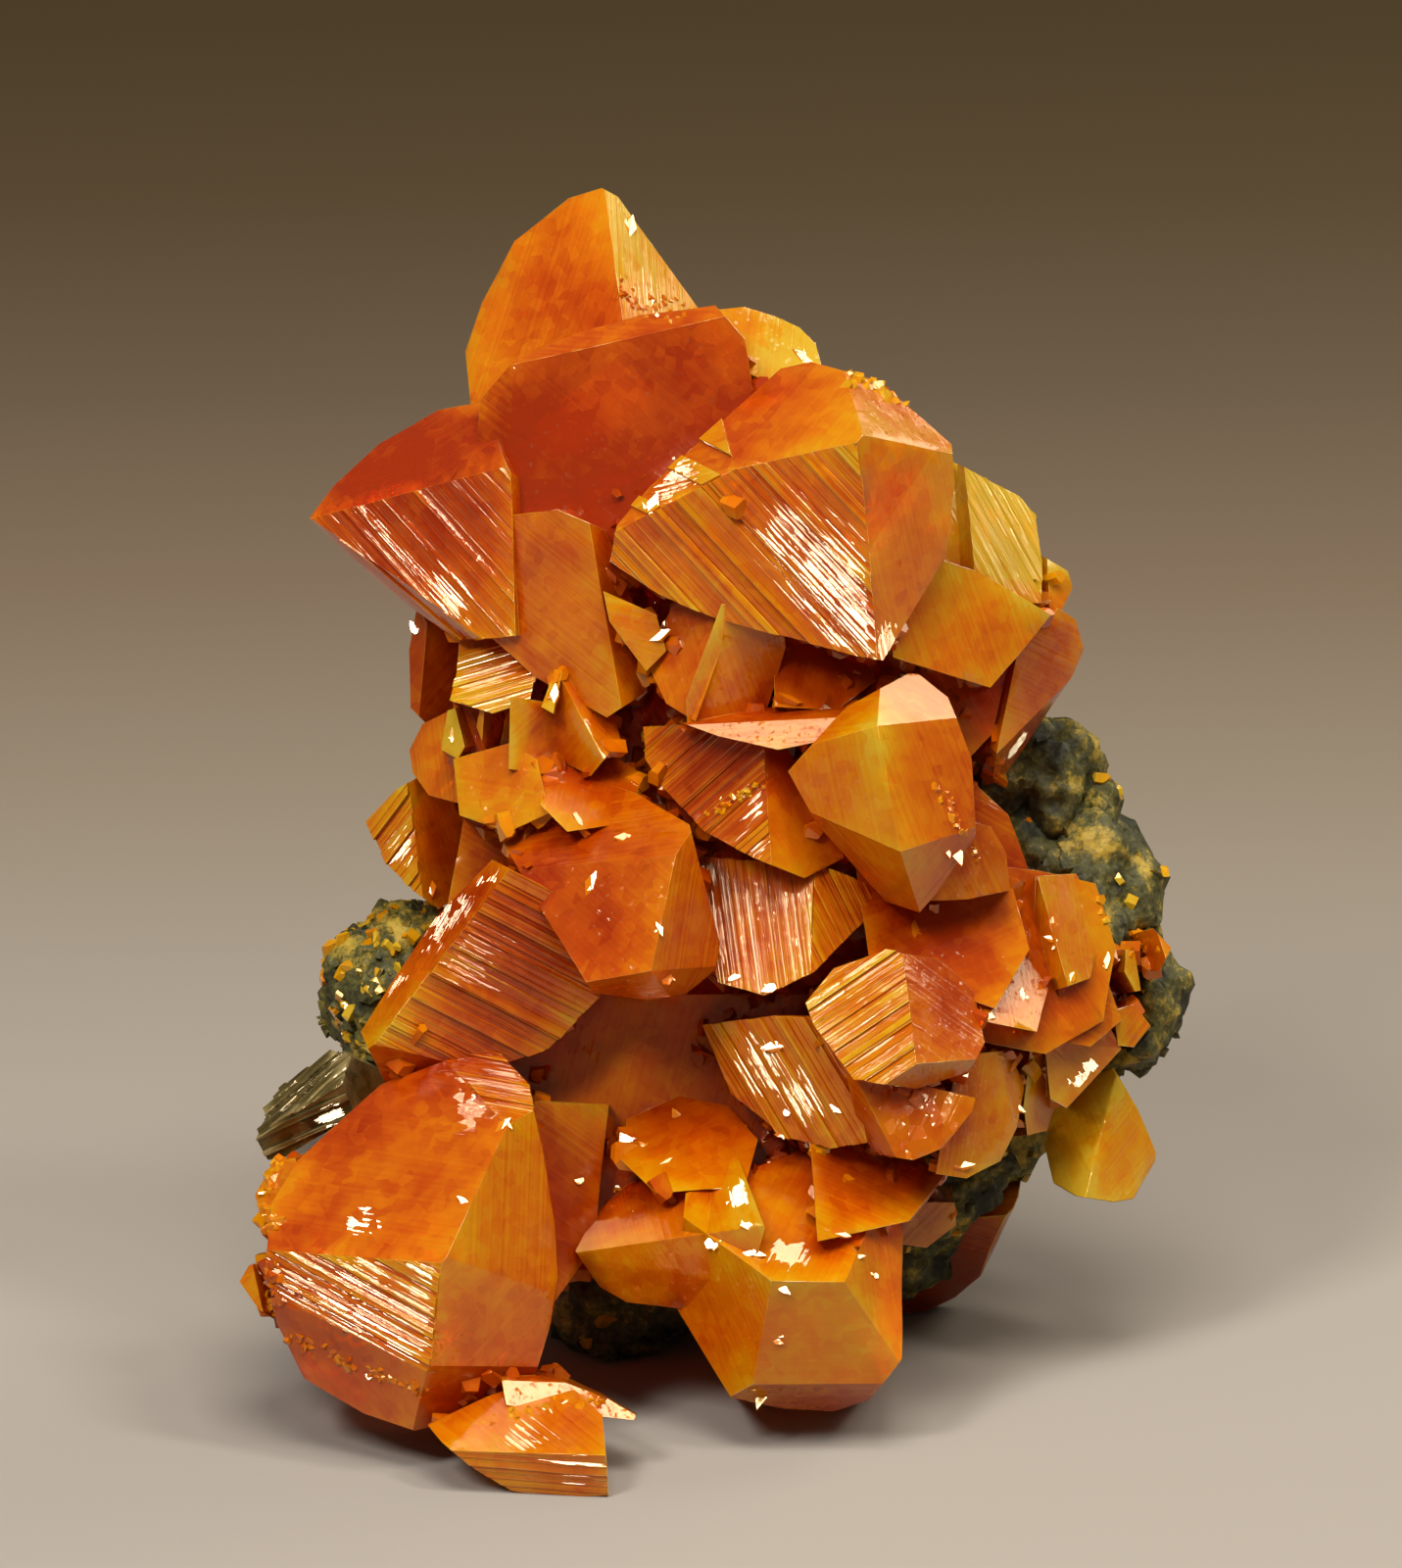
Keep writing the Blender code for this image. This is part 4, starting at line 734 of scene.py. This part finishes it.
def rockMaterial():
    made = bpy.data.materials.new("matrixRock")
    made.use_nodes = True
    tree = made.node_tree
    link = tree.links.new
    shader = tree.nodes["Principled BSDF"]
    where = node(tree, "ShaderNodeTexCoord")
    stains = node(tree, "ShaderNodeTexNoise", Scale=550.0, Detail=9.0, Roughness=0.78)
    link(where.outputs["Object"], stains.inputs["Vector"])
    ramp = node(tree, "ShaderNodeValToRGB")
    ramp.color_ramp.elements[0].position = 0.42
    ramp.color_ramp.elements[0].color = (0.020, 0.019, 0.008, 1)
    ramp.color_ramp.elements[1].position = 0.62
    ramp.color_ramp.elements[1].color = (0.38, 0.25, 0.03, 1)
    middle = ramp.color_ramp.elements.new(0.53)
    middle.color = (0.085, 0.075, 0.018, 1)
    across = node(tree, "ShaderNodeSeparateXYZ")
    link(where.outputs["Object"], across.inputs["Vector"])
    leftward = arithmetic(tree, "MAXIMUM", arithmetic(tree, "SUBTRACT", -0.007, across.outputs["X"]), 0.0)
    link(arithmetic(tree, "MULTIPLY_ADD", leftward, 7.0, stains.outputs["Fac"]), ramp.inputs["Fac"])
    link(ramp.outputs["Color"], shader.inputs["Base Color"])
    shader.inputs["Roughness"].default_value = 0.6
    shader.inputs["Specular IOR Level"].default_value = 0.25
    grit = node(tree, "ShaderNodeTexVoronoi", Scale=3500.0)
    link(where.outputs["Object"], grit.inputs["Vector"])
    bump = node(tree, "ShaderNodeBump", Strength=0.6, Distance=0.0001)
    link(grit.outputs["Distance"], bump.inputs["Height"])
    link(bump.outputs["Normal"], shader.inputs["Normal"])
    return made


# Chips: a few shapes are cut from prisms, and many copies of them lie on the crystals and the matrix.

chipShapes = {
    "flake": {"kinds": 8, "sides": 4, "cuts": 3, "tall": 0.30},
    "crumb": {"kinds": 6, "sides": 5, "cuts": 4, "tall": 1.0},
}


# Each shape is about one unit long; it is a prism with corners cut off, and a few dozen faces.
def chipTemplates(kind, seed):
    values = chipShapes[kind]
    pick = random.Random(seed)
    templates = []
    for _ in range(values["kinds"]):
        selectNothing()
        bpy.ops.mesh.primitive_cylinder_add(
            vertices=values["sides"], radius=0.5, depth=values["tall"], end_fill_type="NGON")
        chip = bpy.context.object
        editMode(True)
        for _ in range(values["cuts"]):
            way = Vector((pick.uniform(-1, 1), pick.uniform(-1, 1), pick.uniform(-0.1, 1.0))).normalized()
            bpy.ops.mesh.select_all(action="SELECT")
            reach = 0.5 * math.hypot(way.x, way.y) + 0.5 * values["tall"] * abs(way.z)
            bpy.ops.mesh.bisect(plane_co=way * reach * pick.uniform(0.45, 0.8), plane_no=way,
                                clear_outer=True, use_fill=True)
        bpy.ops.mesh.select_all(action="SELECT")
        bpy.ops.mesh.normals_make_consistent(inside=False)
        editMode(False)
        templates.append((vertexTable(chip.data), [list(face.vertices) for face in chip.data.polygons]))
        bpy.data.objects.remove(chip)
    return templates


def turnTo(normal, along, pick, tilt):
    loose = Vector([pick.gauss(0, math.tan(math.radians(tilt))) for _ in range(3)])
    up = (normal + loose).normalized()
    front = (along - up * along.dot(up)).normalized()
    return np.array([front, up.cross(front), up]).T


# One joined mesh of chips; each row gives the place, the turn as a matrix, the size and the warmth.
def joinedChips(name, templates, rows, material):
    points, faces, warmths, count = [], [], [], 0
    for number, (place, turned, size, warmth) in enumerate(rows):
        corners, polygons = templates[number % len(templates)]
        points.append((corners * np.array(size)) @ turned.T + np.array(place))
        faces += [[corner + count for corner in polygon] for polygon in polygons]
        warmths += [warmth] * len(corners)
        count += len(corners)
    mesh = bpy.data.meshes.new(name)
    mesh.from_pydata(np.concatenate(points).tolist(), [], faces)
    piece = bpy.data.objects.new(name, mesh)
    bpy.context.scene.collection.objects.link(piece)
    mesh.materials.append(material)
    mesh.attributes.new("warmth", "FLOAT", "POINT").data.foreach_set("value", warmths)
    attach(piece, "root")
    print(name, len(rows), "chips,", len(mesh.polygons), "faces")
    return piece


crumbSpread = {
    "places": 3600,
    "leastFrost": 0.1,
    "mostOpen": 0.66,
    "clearOfBands": 2.4,
    "size": (0.2, 0.9),
    "sink": 0.12,
}


# Places spread over all but the striated faces by area: place, normal, the way of the fine lines,
# warmth and openness.
def spreadPlaces(host, count, seed):
    mesh = host.data
    areas = np.empty(len(mesh.polygons))
    mesh.polygons.foreach_get("area", areas)
    lines = np.empty(len(mesh.polygons) * 3)
    mesh.attributes["lineWay"].data.foreach_get("vector", lines)
    lines = lines.reshape(-1, 3)
    warmth, openness = pointValues(mesh, "warmth"), pointValues(mesh, "open")
    frost = np.empty(len(mesh.polygons), dtype=np.float32)
    mesh.attributes["frost"].data.foreach_get("value", frost)
    areas *= frost > crumbSpread["leastFrost"]
    chosen = np.random.default_rng(seed).choice(len(areas), count, p=areas / areas.sum())
    spread = []
    for face in chosen:
        polygon = mesh.polygons[face]
        first = polygon.vertices[0]
        normal = polygon.normal.copy()
        across = Vector(lines[face])
        along = normal.cross(across) if across.length > 0.01 else normal.orthogonal()
        spread.append((polygon.center.copy(), normal, along.normalized(), warmth[first], openness[first]))
    return spread


def makeCrumbs(host, material):
    pick = random.Random(12)
    rows = []
    bands = [seen(host, *one["at"])[0] for one in clusterStriations]
    for place, normal, along, warmth, openness in spreadPlaces(host, crumbSpread["places"], 6):
        if openness > crumbSpread["mostOpen"]:
            continue
        if any((place - band).length < crumbSpread["clearOfBands"] * millimetre for band in bands):
            continue
        size = [pick.uniform(*crumbSpread["size"]) * millimetre for _ in range(3)]
        sunk = place - normal * crumbSpread["sink"] * millimetre
        rows.append((sunk, turnTo(normal, along, pick, 60), size, warmth + pick.uniform(-0.05, 0.25)))
    return joinedChips("hollowCrumbs", chipTemplates("crumb", 22), rows, material)


# The smallest flashes are single cleavage facets: thin flakes that look the mirroring way.
def makeGlintFacets(host, material):
    pick = random.Random(14)
    rows = []
    for x, z, reach, _ in glints:
        if reach >= smallestFlash:
            continue
        for step in range(2):
            aside, above = pick.gauss(0, 0.3) * reach * step, pick.gauss(0, 0.3) * reach * step
            place, normal = seen(host, x + aside, z + above)
            if place is None:
                continue
            half = mirrorWay(place, normal)
            smaller = 1.0 if step == 0 else pick.uniform(0.3, 0.6)
            size = [reach * smaller * share * millimetre for share in (1.7, 0.8, 0.6)]
            along = direction(pick.uniform(-1, 1), pick.uniform(-1, 1))
            rows.append((place, turnTo(half, along, pick, 1.5), size, 0.6))
    return joinedChips("glintFacets", chipTemplates("flake", 24), rows, material)


rockCrumbs = {
    "count": 1500,
    "size": (0.15, 0.7),
    "leftOf": -0.008,
    "leftMore": 6.0,
    "yellowShare": 0.45,
}


# Grit on the matrix: dark grains and yellow orpiment crumbs.
def makeRockCrumbs(rock, darkMaterial, yellowMaterial):
    pick = random.Random(15)
    mesh = rock.data
    areas = np.empty(len(mesh.polygons))
    mesh.polygons.foreach_get("area", areas)
    middles = np.array([polygon.center.x for polygon in mesh.polygons])
    areas *= np.where(middles < rockCrumbs["leftOf"], rockCrumbs["leftMore"], 1.0)
    chosen = np.random.default_rng(7).choice(len(areas), rockCrumbs["count"], p=areas / areas.sum())
    rows = {"dark": [], "yellow": []}
    for face in chosen:
        polygon = mesh.polygons[face]
        normal = polygon.normal.copy()
        size = [pick.uniform(*rockCrumbs["size"]) * millimetre for _ in range(3)]
        kind = "yellow" if pick.random() < rockCrumbs["yellowShare"] else "dark"
        sunk = polygon.center - normal * size[2] * 0.15
        turned = turnTo(normal, normal.orthogonal(), pick, 50)
        rows[kind].append((sunk, turned, size, pick.uniform(0.7, 1.05)))
    joinedChips("matrixGrains", chipTemplates("crumb", 25), rows["dark"], darkMaterial)
    joinedChips("matrixOrpimentCrumbs", chipTemplates("crumb", 26), rows["yellow"], yellowMaterial)


# Yellow crumbs along the rims where the photo shows them: from, to, how many, spread and largest size.
rimCrumbs = [
    {"from": (4.4, 34.1), "to": (7.0, 32.9), "count": 90, "spread": 0.3, "size": 0.6, "warmth": 0.95},
    {"from": (7.0, 32.9), "to": (9.3, 30.8), "count": 60, "spread": 0.3, "size": 0.5, "warmth": 0.9},
    {"from": (9.6, 30.6), "to": (12.0, 28.0), "count": 40, "spread": 0.35, "size": 0.5, "warmth": 0.95},
    {"from": (7.0, 21.5), "to": (8.4, 19.0), "count": 30, "spread": 0.2, "size": 0.35, "warmth": 0.85},
    {"from": (11.6, 24.0), "to": (10.4, 22.0), "count": 24, "spread": 0.2, "size": 0.35, "warmth": 0.9},
    {"from": (12.2, 17.9), "to": (13.5, 16.2), "count": 30, "spread": 0.4, "size": 0.5, "warmth": 0.8},
    {"from": (-13.2, 10.0), "to": (-13.4, 7.6), "count": 34, "spread": 0.35, "size": 0.6, "warmth": 0.85},
    {"from": (-13.2, 6.8), "to": (-13.2, 5.0), "count": 24, "spread": 0.3, "size": 0.5, "warmth": 0.7},
    {"from": (-12.7, 4.4), "to": (-8.6, 2.8), "count": 50, "spread": 0.25, "size": 0.4, "warmth": 0.75},
    {"from": (-6.8, 2.0), "to": (-3.0, 2.6), "count": 30, "spread": 0.25, "size": 0.4, "warmth": 0.9},
    {"from": (-0.2, 20.4), "to": (2.0, 21.6), "count": 24, "spread": 0.15, "size": 0.3, "warmth": 0.9},
    {"from": (-2.8, 36.4), "to": (-0.6, 35.8), "count": 40, "spread": 0.4, "size": 0.3, "warmth": 0.7},
]


def makeRimCrumbs(host, material):
    pick = random.Random(13)
    rows = []
    for one in rimCrumbs:
        for _ in range(one["count"]):
            share = pick.random()
            x, z = [start + (end - start) * share + pick.gauss(0, one["spread"] / 2)
                    for start, end in zip(one["from"], one["to"])]
            place, normal = seen(host, x, z)
            if place is None:
                continue
            size = [pick.uniform(0.4, 1.0) * one["size"] * millimetre for _ in range(3)]
            sunk = place - normal * size[2] * 0.3
            turned = turnTo(normal, normal.orthogonal(), pick, 50)
            rows.append((sunk, turned, size, one["warmth"] - 0.12 + pick.uniform(-0.25, 0.1)))
    return joinedChips("rimCrumbs", chipTemplates("crumb", 23), rows, material)


# Pieces

def makeCluster(material, edgeHighlightMaterial):
    piece = copyOfNode("crystal_cluster", "crystalCluster")
    piece.data.materials.append(material)
    piece.data.materials.append(edgeHighlightMaterial)
    giveTraits(piece, clusterFaces, clusterStriations)
    for number, one in enumerate(clusterStriations):
        striate(piece, seed=number, **one)
    print("striated:", len(piece.data.polygons), "faces")
    bevelForEdgeHighlight(piece, 0.075)
    refine(piece, 1.6)
    print("worn:", len(piece.data.polygons), "faces")
    feelLight(piece)
    print("light felt")
    refine(piece, 0.8)
    refineGlints(piece)
    print("refined:", len(piece.data.polygons), "faces")
    unevenness(piece, "slowSwell", "CLOUDS", 2.0, 0.06, depth=0)
    smoothExceptEdges(piece, 14)
    tint(piece, clusterTints)
    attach(piece, "root")
    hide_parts("crystal_cluster")
    return piece


def makeCrystal(nodeName, pieceName, material, edgeHighlightMaterial, warmth, striations=()):
    piece = copyOfNode(nodeName, pieceName)
    piece.data.materials.append(material)
    piece.data.materials.append(edgeHighlightMaterial)
    giveTraits(piece, [], striations)
    for number, one in enumerate(striations):
        striate(piece, seed=number + 40, **one)
    bevelForEdgeHighlight(piece, 0.05)
    refine(piece, 1.2)
    feelLight(piece)
    refine(piece, 0.8)
    refineGlints(piece)
    unevenness(piece, pieceName + "Swell", "CLOUDS", 1.5, 0.06, depth=0)
    smoothExceptEdges(piece, 14)
    tint(piece, [], warmth)
    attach(piece, "root")
    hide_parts(nodeName)
    return piece


def makeRock(material):
    piece = copyOfNode("matrix_rock", "matrixRock")
    piece.data.materials.append(material)
    refine(piece, 0.32)
    unevenness(piece, "rockLumps", "CLOUDS", 1.6, 0.9, middle=0.3)
    unevenness(piece, "rockGrit", "VORONOI", 0.7, 0.5, middle=0.3)
    unevenness(piece, "rockSand", "CLOUDS", 0.25, 0.25)
    smoothExceptEdges(piece, 24)
    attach(piece, "root")
    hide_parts("matrix_rock")
    return piece


# Studio

studio = {
    "skyColour": (0.62, 0.57, 0.52),
    "skyPower": 0.22,
}

# The backdrop is pale paper, painted darker towards the back as painted shade where the lamps' light falls
# off: height in the drawing, then colour.
backdropShadeTones = [
    (6, (0.315, 0.275, 0.230)),
    (14.8, (0.265, 0.226, 0.183)),
    (21.5, (0.220, 0.179, 0.128)),
    (28.8, (0.170, 0.123, 0.081)),
    (36.6, (0.116, 0.084, 0.051)),
    (45.3, (0.083, 0.056, 0.027)),
    (54, (0.066, 0.044, 0.019)),
]


def makeBackdrop():
    selectNothing()
    bpy.ops.mesh.primitive_plane_add(size=1)
    sweep = bpy.context.object
    sweep.name = "backdrop"
    sweep.scale = (1.6, 1.4, 1)
    sweep.location = (0, -0.1, 0)
    bpy.ops.object.transform_apply(location=True, rotation=True, scale=True)
    places = vertexTable(sweep.data)
    editMode(True)
    bpy.ops.mesh.select_mode(type="EDGE")
    editMode(False)
    ends = [edge.index for edge in sweep.data.edges if all(places[v][1] > 0 for v in edge.vertices)]
    selectParts(sweep.data, "edges", ends)
    editMode(True)
    bpy.ops.mesh.extrude_region_move(TRANSFORM_OT_translate={"value": (0, 0.02, 0.5)})
    editMode(False)
    corner = [
        edge.index for edge in sweep.data.edges
        if all(abs(sweep.data.vertices[v].co.y - 0.60) < 1e-4 for v in edge.vertices)
    ]
    selectParts(sweep.data, "edges", corner)
    editMode(True)
    bpy.ops.mesh.bevel(offset=0.2, segments=24)
    bpy.ops.mesh.select_mode(type="FACE")
    editMode(False)
    smoothExceptEdges(sweep, 30)
    made = bpy.data.materials.new("backdropPaper")
    made.use_nodes = True
    tree = made.node_tree
    where = node(tree, "ShaderNodeTexCoord")
    height = vectorWork(tree, "DOT_PRODUCT", where.outputs["Object"], tuple(direction(0, 1)))
    low, high = [spot(0, tone[0]).dot(direction(0, 1)) for tone in (backdropShadeTones[0], backdropShadeTones[-1])]
    # The ramp paints the shade of the light falling off towards the back.
    ramp = node(tree, "ShaderNodeValToRGB")
    while len(ramp.color_ramp.elements) < len(backdropShadeTones):
        ramp.color_ramp.elements.new(0.5)
    for stop, (z, colour) in zip(ramp.color_ramp.elements, backdropShadeTones):
        stop.position = (z - backdropShadeTones[0][0]) / (backdropShadeTones[-1][0] - backdropShadeTones[0][0])
        stop.color = (*colour, 1)
    scaled = node(tree, "ShaderNodeMapRange")
    scaled.inputs["From Min"].default_value = low
    scaled.inputs["From Max"].default_value = high
    tree.links.new(height, scaled.inputs["Value"])
    tree.links.new(scaled.outputs["Result"], ramp.inputs["Fac"])
    shader = tree.nodes["Principled BSDF"]
    tree.links.new(ramp.outputs["Color"], shader.inputs["Base Color"])
    shader.inputs["Roughness"].default_value = 0.9
    shader.inputs["Specular IOR Level"].default_value = 0.1
    sweep.data.materials.append(made)


def addLamp(name, place, aim, size, power, colour=(1, 1, 1)):
    selectNothing()
    bpy.ops.object.light_add(type="AREA", location=place)
    lamp = bpy.context.object
    lamp.name = name
    lamp.rotation_euler = (aim - Vector(place)).to_track_quat("-Z", "Y").to_euler()
    lamp.data.shape = "RECTANGLE"
    lamp.data.size = size[0]
    lamp.data.size_y = size[1]
    lamp.data.energy = power
    lamp.data.color = colour
    return lamp


def makeStudio():
    for one in softboxes:
        addLamp(one["name"], softboxPlace(one), spot(0, 18), one["size"], one["power"], one["colour"])
    world = bpy.data.worlds.new("studioAir")
    bpy.context.scene.world = world
    world.use_nodes = True
    air = world.node_tree.nodes["Background"]
    air.inputs["Color"].default_value = (*studio["skyColour"], 1)
    air.inputs["Strength"].default_value = studio["skyPower"]
    bpy.ops.object.camera_add(location=eye)
    camera = bpy.context.object
    camera.name = "studioCamera"
    camera.rotation_euler = (spot(*cameraSetup["aim"]) - eye).to_track_quat("-Z", "Y").to_euler()
    camera.data.sensor_fit = "VERTICAL"
    camera.data.sensor_height = cameraSetup["sensorHeight"]
    camera.data.lens = cameraSetup["lens"]
    camera.data.clip_start = 0.01
    camera.data.clip_end = 20
    bpy.context.scene.camera = camera


bpy.context.scene.view_settings.view_transform = "Standard"
bpy.context.scene.cycles.max_bounces = 5
bpy.context.scene.cycles.transmission_bounces = 4
bpy.context.scene.cycles.diffuse_bounces = 1
bpy.context.scene.cycles.glossy_bounces = 2
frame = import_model()

# The edge finish paints the bevels warmer and yellower than the faces: a painted highlight along the
# crystals' edges.
edgeHighlightFinish = {**crystalFinish, "highlightLift": 0.5, "dullness": 0.12, "sparkle": 3.0, "clearness": 0.5}
orange = crystalMaterial("orangeOrpiment", crystalFinish)
orangeEdgeHighlight = crystalMaterial("orangeOrpimentEdgeHighlight", edgeHighlightFinish)
chips = crystalMaterial("orpimentChips", {**crystalFinish, "clearness": 0.5})
golden = crystalMaterial("goldenOrpiment", {**crystalFinish, "density": 35.0, "clearness": 0.5})
olive = crystalMaterial("oliveOrpiment", {**crystalFinish, "density": 200.0, "colours": [
    (0.0, (0.020, 0.015, 0.004)),
    (0.4, (0.16, 0.115, 0.03)),
    (0.7, (0.66, 0.50, 0.20)),
]})
print("materials made")

cluster = makeCluster(orange, orangeEdgeHighlight)
print("cluster made")
makeCrumbs(cluster, chips)
makeRimCrumbs(cluster, chips)
makeGlintFacets(cluster, chips)
makeCrystal("golden_crystal", "goldenCrystal", golden, golden, 1.0)
makeCrystal("olive_crystal", "oliveCrystal", olive, olive, 0.35,
            [{"at": (-12.0, 11.8), "slope": 33, "pitch": 0.3, "tall": 2.2}])
makeCrystal("red_crystal", "redCrystal", orange, orangeEdgeHighlight, 0.1)
for end in ("upper", "left", "right"):
    makeCrystal("rear_crystals_" + end, "rearCrystals" + end.capitalize(),
                orange, orangeEdgeHighlight, 0.5)
print("single crystals made")
rockFinish = rockMaterial()
rock = makeRock(rockFinish)
makeRockCrumbs(rock, rockFinish, chips)
print("rock made")

makeBackdrop()
makeStudio()
print("studio made")
